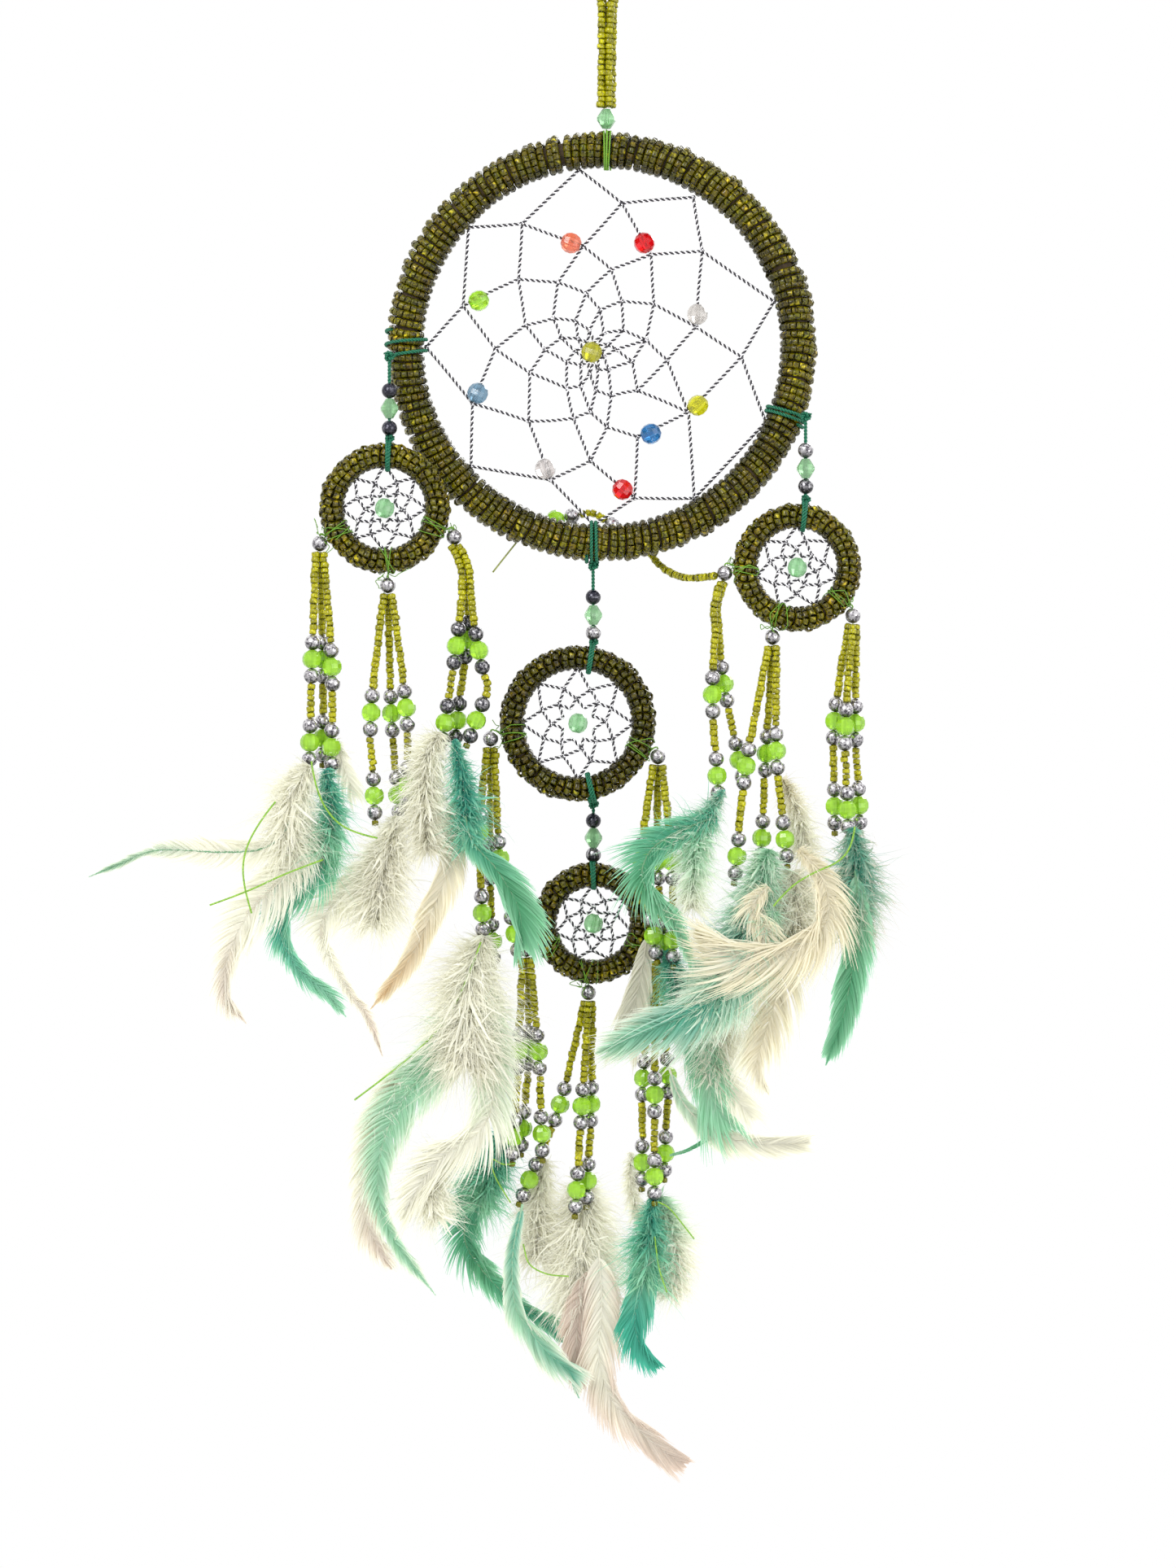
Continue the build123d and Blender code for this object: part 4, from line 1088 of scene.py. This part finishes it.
# Each feather: the tassel it hangs on, its sort, depth, colours from base to tip and at the barbs' ends
# with any other quill colour last, quill points, and half the width at each
feathers = [
    ("left_tassel_a", "down", -19.0, "white white white white",
     [(-81.5, -233), (-86, -241), (-87.5, -249), (-87, -257)], [5, 10.5, 10, 7]),
    ("left_tassel_a", "vane", -20.0, "white white green white green",
     [(-84, -243), (-89, -252), (-95, -256), (-105.3, -256.8), (-123, -256.3), (-133.4, -260.1),
      (-142, -263.7)], [2, 4, 6.5, 6.5, 1.5, 1.3, 0.4]),
    ("left_tassel_a", "vane", -18.6, "white white pink white",
     [(-82, -247), (-83.3, -256), (-89.4, -264.4), (-97.5, -272.7), (-103.1, -283.1), (-104.7, -295.2),
      (-98.6, -304)], [3, 8, 11, 9, 4, 3, 0.5]),
    ("left_tassel_a", "down", -17.2, "deepTeal teal mint mint",
     [(-77.2, -234), (-75.4, -246.4), (-78, -257)], [3, 6, 8]),
    ("left_tassel_a", "vane", -16.4, "green teal mint mint",
     [(-76, -250), (-79, -262), (-87.8, -269.6), (-89.4, -279.3), (-84.6, -288.9), (-77.2, -295.2),
      (-71.6, -302)], [5, 8, 7, 3.5, 2.8, 2.4, 0.5]),
    ("left_tassel_a", "vane", -12.5, "white white pink white",
     [(-62.1, -258), (-69.1, -265.5), (-76, -272), (-79, -279), (-75.6, -287.1), (-70.9, -295.2),
      (-66, -301.8), (-61.7, -313.2)], [5, 9, 8, 4, 2.4, 2.0, 2.0, 0.6]),
    ("left_tassel_b", "down", -13.8, "white grey white white",
     [(-57.5, -247), (-59.5, -254), (-62, -264), (-64, -277)], [4, 8, 12, 7]),
    ("left_tassel_c", "down", -17.2, "white white grey white",
     [(-46, -224), (-49.5, -232), (-50, -243), (-49, -256)], [5, 8, 8.5, 7]),
    ("left_tassel_c", "down", -18.6, "deepTeal deepTeal teal mint",
     [(-41.9, -226), (-40, -236), (-38.5, -246), (-38, -255)], [1.5, 5.5, 7, 5]),
    ("left_tassel_c", "blade", -14.0, "white cream tan cream",
     [(-42, -240), (-42.8, -258), (-47.5, -271.2), (-53.1, -284), (-58.6, -292), (-65.3, -300.2)],
     [4, 5.5, 4.2, 3.2, 2.2, 0.3]),
    ("left_tassel_c", "blade", -20.0, "teal green green mint",
     [(-39, -247), (-37, -254), (-30.6, -261.3), (-24.6, -271.8), (-23.2, -283)], [2, 4, 6, 6, 1.0]),
    ("right_tassel_a", "down", -17.2, "teal mint white white",
     [(31.5, -240), (27, -247), (23.5, -257), (23, -272)], [1.5, 6, 7.5, 5]),
    ("right_tassel_a", "vane", -18.6, "teal green mint mint",
     [(29.5, -247), (19.8, -251), (11.9, -256), (9.2, -263.3), (12.6, -270), (18.7, -276.8), (23.4, -290.5)],
     [4, 7, 8, 7, 4, 2.5, 0.4]),
    ("right_tassel_b", "plume", -20.5, "cream cream white cream",
     [(52, -256), (58.5, -264), (60, -275), (53.5, -282.4), (46.8, -285.1), (37.8, -285.8), (28.8, -282.4)],
     [2, 6, 8, 9, 9, 9, 3]),
    ("right_tassel_b", "plume", -20.0, "cream cream cream cream",
     [(43.5, -266), (39.5, -272), (42.5, -279), (39, -285), (30, -283.5), (24, -278)], [3, 5, 5, 5, 5, 1]),
    ("right_tassel_b", "vane", -11.2, "white cream cream white",
     [(50, -262), (50, -275), (48.1, -287), (45, -301), (41.4, -312), (41, -317), (44.3, -323.8)],
     [6, 10, 11, 8, 4, 3, 0.5]),
    ("right_tassel_b", "down", -11.4, "white white grey white",
     [(51, -262), (52, -272), (51, -284)], [6, 10, 7]),
    ("right_tassel_b", "down", -16.0, "mint teal mint white",
     [(43.9, -256), (41.2, -268), (36.8, -281), (31.3, -293.7), (26, -302)], [5, 9, 11, 11, 6]),
    ("right_tassel_b", "vane", -18.6, "mint teal mint white",
     [(45, -273), (37.3, -289), (26.5, -299), (11.7, -305.5), (-3.8, -311.9)], [4, 11, 10, 6, 0.8]),
    ("right_tassel_b", "down", -8.0, "cream white white white",
     [(48, -237), (52, -246), (54.5, -258)], [3.5, 5.5, 6]),
    ("right_tassel_c", "down", -16.2, "teal teal mint pink",
     [(67, -250), (67.5, -258), (68.5, -269), (68.5, -279)], [3, 8, 8.5, 6]),
    ("right_tassel_c", "blade", -18.0, "mint green green mint",
     [(67.5, -262), (68.4, -277), (66.5, -290), (64, -302), (59.4, -315.3)], [3, 6, 5, 3.4, 0.4]),
    ("middle_tassel_a", "down", -3.9, "white white grey white",
     [(-34, -280), (-37.5, -290), (-38.7, -302), (-39, -316)], [5, 12.5, 15, 12]),
    ("middle_tassel_a", "vane", -3.1, "mint white white white",
     [(-34.9, -296), (-32.2, -306), (-31.5, -318), (-32.5, -329), (-37.5, -336), (-45.5, -341), (-52, -349),
      (-57.4, -359)], [4, 8, 9, 9, 8, 7, 5, 0.6]),
    ("middle_tassel_a", "vane", -1.8, "mint mint mint white",
     [(-36.5, -296), (-46.2, -312), (-56.3, -325), (-62.3, -338), (-63.3, -352.6), (-58.5, -365),
      (-47.1, -380)], [5, 11, 10, 6, 3.2, 2.6, 0.5]),
    ("middle_tassel_a", "vane", 0.0, "white white pink white",
     [(-58, -318), (-65, -333), (-67, -347), (-66.5, -360), (-59.7, -372.6)], [5, 7, 6, 5, 0.8]),
    ("middle_tassel_a", "down", 1.0, "grey white white white",
     [(-45, -338), (-50, -350), (-47, -358)], [6, 9, 6]),
    ("middle_tassel_b", "down", -1.7, "deepTeal teal mint mint",
     [(17, -284), (18.6, -293.7), (22.2, -305)], [4, 7, 7]),
    ("middle_tassel_b", "vane", -2.0, "teal mint mint mint",
     [(19, -296), (24.2, -309), (27.2, -318), (28.8, -325.2), (33.9, -332.9)], [4, 8, 7, 6, 1.5]),
    ("middle_tassel_b", "vane", -1.0, "white white white white",
     [(24, -308), (31, -318.4), (35.5, -325.2), (40.5, -331)], [4, 6, 5, 0.5]),
    ("middle_tassel_b", "blade", 0.2, "mint white grey white",
     [(17, -317), (20, -325), (25, -331), (32, -335.5), (41, -337.6), (49.7, -337.8), (55.8, -337.3)],
     [1, 3, 5, 5, 4, 3, 1.4]),
    ("middle_tassel_b", "blade", 0.8, "green green green green",
     [(17.1, -341), (22, -339.5), (27.9, -336.2)], [0.5, 0.7, 0.9]),
    ("middle_tassel_b", "blade", 1.2, "grey grey grey grey",
     [(11, -280), (9, -292), (5.5, -307)], [2, 6, 5]),
    ("bottom_tassel_a", "down", 15.8, "deepTeal teal mint mint",
     [(-27.8, -335), (-32, -345), (-36, -356)], [5, 8, 8]),
    ("bottom_tassel_a", "vane", 17.2, "teal green teal mint",
     [(-30, -343), (-37.5, -352), (-40.1, -364.5), (-36, -373), (-27, -382.5), (-18, -388.5),
      (-11.3, -395.6)], [6, 8, 7, 5, 3.6, 3, 0.5]),
    ("bottom_tassel_b", "blade", 8.0, "teal mint teal white",
     [(-23.7, -355), (-26.4, -368.8), (-25.9, -382.5), (-22.1, -389.5), (-16.7, -396.3), (-10.6, -401.6),
      (-7.9, -409.3)], [1.5, 3, 4, 5, 4, 2.5, 0.4]),
    ("bottom_tassel_b", "down", 16.8, "white white grey white",
     [(-8, -349), (-7, -358), (-7, -370), (-7, -385)], [6, 12, 14, 10]),
    ("bottom_tassel_b", "down", 17.6, "white white grey white",
     [(-18, -343), (-19.5, -356), (-20, -371)], [4, 8, 8]),
    ("bottom_tassel_b", "blade", 11.6, "white white pink pink",
     [(-2.5, -368), (-1.6, -384), (-2.6, -397), (0.6, -409), (7.4, -417), (14.6, -423.4), (20.8, -427.4)],
     [6, 8, 6, 5, 4.6, 4.2, 3.2]),
    ("bottom_tassel_b", "blade", 13.4, "pink pink pink pink",
     [(-3, -372), (-8, -385), (-8.5, -398), (-7.5, -408)], [5, 5, 3, 0.4]),
    ("bottom_tassel_c", "down", 9.5, "deepTeal teal mint mint",
     [(12.6, -353), (11.5, -365), (10.8, -377)], [2, 9, 7]),
    ("bottom_tassel_c", "blade", 9.0, "mint teal teal teal",
     [(12, -366), (9.6, -378), (7.6, -387), (9.0, -394), (14.4, -401)], [5, 6, 4.5, 3.2, 0.4]),
    ("bottom_tassel_c", "down", 13.0, "mint white white white",
     [(14, -353), (18, -362), (19, -371), (17.5, -381)], [4, 8, 8.5, 5]),
    ("left_tassel_a", "vane", -12.5, "white white white white",
     [(-74.5, -226), (-72.5, -233), (-69.5, -241.5)], [2, 4.5, 1.5]),
    ("middle_tassel_b", "down", 0.2, "mint white white white",
     [(25, -287), (29, -297), (30, -308), (29, -320)], [7, 11, 10, 6]),
    ("bottom_tassel_c", "down", 14.5, "white white white white",
     [(6.5, -341), (6.5, -350), (9, -360)], [2.5, 3.5, 4]),
]
plume = {
    "quill": 0.36,
    "spacing": 0.24,  # from barb to barb along the quill
    "points": 7,  # along each barb
    "barb": {"vane": 0.30, "blade": 0.42, "plume": 0.36},
    "splay": {"vane": (1.05, 0.85, 0.55, 0.22, 0.25), "blade": (0.80, 0.58, 0.44, 0.34, 0.25),
              "plume": (1.2, 1.0, 0.8, 0.5, 0.25)},
    "tousle": {"vane": 0.12, "blade": 0.03, "plume": 0.16},
    "bend": {"vane": 0.42, "blade": 0.45, "plume": 1.0},
    "fluff": {"vane": 0.16, "blade": 0.0, "plume": 0.1, "down": 1.0},
    "clumps": 22,
    "layer": 0.12,
    "tipReach": 0.16,
    "jitter": 0.05,
    "shadow": 0.12,
    "puff": 5.4,  # how far barbs may stand before or behind the feather
}
down = {
    "count": 10.0,  # filaments for each square millimetre
    "reach": 1.3,
    "wide": 0.085,
    "bend": 0.22,
    "curl": 0.42,
    "tousle": 0.17,
    "broad": {"share": 0.20, "wide": 0.42, "reach": 0.75},
    "jitter": 0.07,
    "shadow": 0.08,
}


def ribbons(starts, ahead, aside, lift, length, wide, bend, curl, tousle, rng):
    # each barb leaves its start, bends ahead, and lifts or curls off the vane; width tapers to the tip
    points = plume["points"]
    t = np.linspace(0, 1, points)[None, :, None]
    length, curl = length[:, None, None], curl[:, None, None]
    wander = rng.normal(0, 1, (len(starts), 1, 3)) * tousle * length * t**2
    path = (starts[:, None] + aside[:, None] * length * (t - 0.25 * t**2)
            + ahead[:, None] * length * bend * t**2
            + lift[:, None] * length * curl * np.sin(2.2 * t) * t + wander)
    direction = unit(np.gradient(path, axis=1))
    flat = np.cross(direction, lift[:, None] + rng.normal(0, 0.25, (len(starts), 1, 3)))
    taper = wide[:, None, None] * np.clip(1.05 - t**1.6, 0.12, 1) * np.clip(0.45 + 3 * t, 0, 1)
    flat = unit(flat) * taper
    start = np.arange(len(starts))[:, None, None] * points * 2
    faces = (gridFaces(points, 2)[None] + start).reshape(-1, 4)
    return np.stack([path - flat, path + flat], 2).reshape(-1, 3), faces


def paint(colours, at, jitter, shadow, rng):
    # colour along the feather, blended to the edge colour along each barb, with painted shadow near the quill
    stops = np.array([shades[c] for c in colours])
    base = np.stack([np.interp(at, [0.0, 0.5, 1.0], stops[:3, k]) for k in range(3)], -1)[:, None]
    t = np.linspace(0, 1, plume["points"])[None, :, None]
    colour = (base * (1 - t**1.7) + stops[3] * t**1.7) * (1 - shadow * (1 - t)**2)
    colour = colour * np.exp(rng.normal(0, jitter, (len(at), 1, 1)))
    return np.clip(np.repeat(colour, 2, axis=1), 0, 1).reshape(-1, 3)


def vaneBarbs(spine, length, widthAt, colours, sort, side, rng):
    # a row of barbs down one side of the quill, in clumps that part from each other; they splay less
    # towards the tip, where a blade's lie calm and close
    count = int(length / plume["spacing"])
    at = np.sort(np.clip(np.linspace(0.03, 0.99, count) + rng.normal(0, 0.002, count), 0, 1))
    spots, along = alongLine(spine, at * length)
    across = side * np.cross(along, towardsViewer)
    tousle, clumps = plume["tousle"][sort], plume["clumps"]
    calm = np.interp(at, [0.55, 0.85], [1, 0.05 if sort == "blade" else 1])
    clump = np.interp(at, np.linspace(0, 1, clumps), rng.normal(0, tousle, clumps))
    clump = clump + tousle * rng.normal(0, 0.6, count)
    splay = np.interp(at, [0, 0.3, 0.75, 0.95, 1], plume["splay"][sort]) + clump * calm
    aside = unit(np.cos(splay)[:, None] * along + np.sin(splay)[:, None] * across)
    far = widthAt(at) / np.maximum(np.sin(splay), 0.22) * rng.uniform(0.80, 1.10, count)
    far = np.minimum(far, 2.6 * widthAt(at) + 1.0) * np.interp(at, [0, 0.84, 1], [1, 1, plume["tipReach"]])
    spots = spots + plume["layer"] * calm[:, None] * rng.normal(0, 1, (count, 1)) * towardsViewer
    lift = unit(towardsViewer + 0.35 * across + rng.normal(0, 0.06, (count, 3)))
    wide = plume["barb"][sort] * rng.uniform(0.6, 1.25, count) * np.interp(widthAt(at), [0.4, 3], [0.4, 1])
    curl = (0.06 if sort != "plume" else 0.2) + (0.5 * tousle + 0.02) * calm * rng.normal(0, 1, count)
    points, faces = ribbons(spots, along, aside, lift, far, wide, plume["bend"][sort], curl, 0.35 * tousle,
                            rng)
    return points, faces, paint(colours, at, plume["jitter"], plume["shadow"], rng)


def downBarbs(spine, length, widthAt, colours, sort, rng, broad=False):
    # fine curled filaments that stand off the quill on all sides, or a few broad ones as the mass behind
    share, wide, reach = 1, down["wide"], 1
    if broad:
        share, wide, reach = (down["broad"][k] for k in ("share", "wide", "reach"))
    area = plume["fluff"][sort] * length * np.mean(widthAt(np.linspace(0, 1, 20)))
    count = int(down["count"] * area * share)
    at = rng.uniform(0, 1, count) ** (1.0 if sort == "down" else 2.5)
    spots, along = alongLine(spine, at * length * (1.0 if sort == "down" else 0.5))
    spin = rng.uniform(0, 2 * np.pi, count)
    across = np.cross(along, towardsViewer)
    out = unit(across * np.cos(spin)[:, None] + 0.45 * towardsViewer * np.sin(spin)[:, None])
    tuft = np.sin(7 * spin + 9 * at + rng.uniform(0, 6))
    aside = unit(out + along * (0.25 + 0.25 * tuft + rng.uniform(-0.35, 0.55, count))[:, None])
    far = down["reach"] * widthAt(at) * rng.uniform(0.45, 1.3, count) * (1.0 + 0.14 * tuft)
    lift = unit(np.cross(aside, rng.normal(0, 1, (count, 3))))
    wide = wide * rng.uniform(0.6, 1.6, count)
    curl = rng.normal(0, down["curl"], count)
    points, faces = ribbons(spots, along, aside, lift, reach * far, wide, down["bend"], curl, down["tousle"],
                            rng)
    return points, faces, paint(colours, at, down["jitter"], down["shadow"], rng)


def makeFeather(number, tassel, sort, depth, colours, quillPoints, widths):
    # a quill along the smoothed points, its rows of barbs and its down, all pressed towards its depth
    rng = np.random.default_rng(300 + number)
    colours = colours.split()
    route = np.array([(x, depth, z) for x, z in quillPoints], float)
    route[:, 1] += np.linspace(0, rng.uniform(-0.8, 0.8), len(route))
    knots = np.concatenate([[0], np.cumsum(np.linalg.norm(np.diff(route, axis=0), axis=1))])
    spine = smoothPath(route, 200)
    length = lineLength(spine)

    def widthAt(share):
        return np.interp(share, knots / knots[-1], widths)

    thick = plume["quill"] * np.linspace(1.0, 0.2, 60) * (0.5 if sort == "down" else 1)
    points, faces = tubeSkin(alongLine(spine, np.linspace(0, 0.97 * length, 60))[0], thick, 5)
    own = np.array(shades[colours[-1 if len(colours) > 4 else 1]])
    quillTint = 0.75 * own + 0.2 * np.array(shades["cream"])
    layers = [(points, faces, np.tile(quillTint, (len(points), 1)))]
    if sort != "down":
        layers += [vaneBarbs(spine, length, widthAt, colours, sort, side, rng) for side in (-1, 1)]
    if plume["fluff"][sort]:
        layers.append(downBarbs(spine, length, widthAt, colours, sort, rng))
    if sort == "down":
        layers.append(downBarbs(spine, length, widthAt, colours, sort, rng, broad=True))
    points, faces, tint = joined(layers)
    points[:, 1] = depth + plume["puff"] * np.tanh((points[:, 1] - depth) / plume["puff"])
    makeMesh(f"{tassel}Feather{number + 1}", points, faces, barbs, bodyOf(tassel), tint=tint,
             marks=[f"{tassel}_feathers"])


# Thread ends of under 20 mm that lie on the feathers: the tassel, depth, and the way each lies
shortEnds = [
    ("bottom_tassel_c", 7.0, [(14.0, -354.3), (17.5, -356.5), (24.0, -364.6)]),
    ("bottom_tassel_c", 6.5, [(13.0, -363.9), (14.2, -372.5), (16.4, -379.4)]),
    ("bottom_tassel_a", 7.0, [(-23.5, -366.0), (-21.8, -371.5), (-17.0, -374.3), (-10.8, -375.0)]),
    ("bottom_tassel_a", 7.5, [(-25.6, -343.6), (-29.0, -343.9), (-32.3, -342.6), (-31.2, -347.5),
                              (-27.0, -354.6)]),
]


def makeShortEnd(number, tassel, depth, route):
    # a thin tube along the smoothed route
    path = smoothPath([(x, depth, z) for x, z in route], 40)
    points, faces = tubeSkin(path, np.full(len(path), 0.9 * stock["thread"]), 6)
    makeMesh(f"shortEnd{number + 1}", points, faces, looseThread, bodyOf(tassel),
             marks=[f"{tassel}_feathers"])


for number, spec in enumerate(feathers):
    makeFeather(number, *spec)
for number, spec in enumerate(shortEnds):
    makeShortEnd(number, *spec)
print("feathers made")


# A pale round floor, and each light's place, size and power
studio = {
    "floorRadius": 0.34,
    "floorZ": -0.52,
    "floorRings": 11,
    "floorSides": 96,
    "aim": (0, 0, -0.22),
    "lights": {
        "key": {"spot": (-0.8, -1.3, 0.7), "size": 0.9, "power": 16.0},
        "fill": {"spot": (1.1, -1.0, -0.1), "size": 1.2, "power": 7.0},
        "back": {"spot": (0.5, 1.2, 0.5), "size": 0.9, "power": 7.0},
    },
    "world": 1.0,
}


def makeStage():
    # rings of points on a flat disc, and a flat face in the middle
    sides = studio["floorSides"]
    radii = studio["floorRadius"] * np.linspace(0, 1, studio["floorRings"] + 1)[1:]
    far, turn = np.meshgrid(radii, np.arange(sides) * 2 * np.pi / sides, indexing="ij")
    points = np.stack([far * np.cos(turn), far * np.sin(turn), np.full(far.shape, studio["floorZ"])], -1)
    mesh = bpy.data.meshes.new("floor")
    faces = gridFaces(len(radii), sides, closeColumns=True).tolist() + [list(range(sides))]
    mesh.from_pydata(points.reshape(-1, 3).tolist(), [], faces)
    floor = bpy.data.objects.new("floor", mesh)
    bpy.context.scene.collection.objects.link(floor)
    mesh.materials.append(newMaterial("paleFloor", (0.86, 0.86, 0.85), 0.6)[0])


def makeLight(name, spot, size, power):
    # a round soft light, turned from its place to face the aim
    light = bpy.data.objects.new(name, bpy.data.lights.new(name, "AREA"))
    bpy.context.scene.collection.objects.link(light)
    light.data.shape, light.data.size, light.data.energy = "DISK", size, power
    light.location = spot
    line = np.array(studio["aim"]) - np.array(spot)
    flat = np.hypot(line[0], line[1])
    light.rotation_euler = (np.arctan2(flat, -line[2]), 0, np.arctan2(-line[0], line[1]))


makeStage()
for name, light in studio["lights"].items():
    makeLight(name, **light)
world = bpy.data.worlds.new("world")
bpy.context.scene.world = world
world.use_nodes = True
world.node_tree.nodes["Background"].inputs["Color"].default_value = (1, 1, 1, 1)
world.node_tree.nodes["Background"].inputs["Strength"].default_value = studio["world"]
bpy.context.scene.view_settings.view_transform = "Standard"
print("stage made")
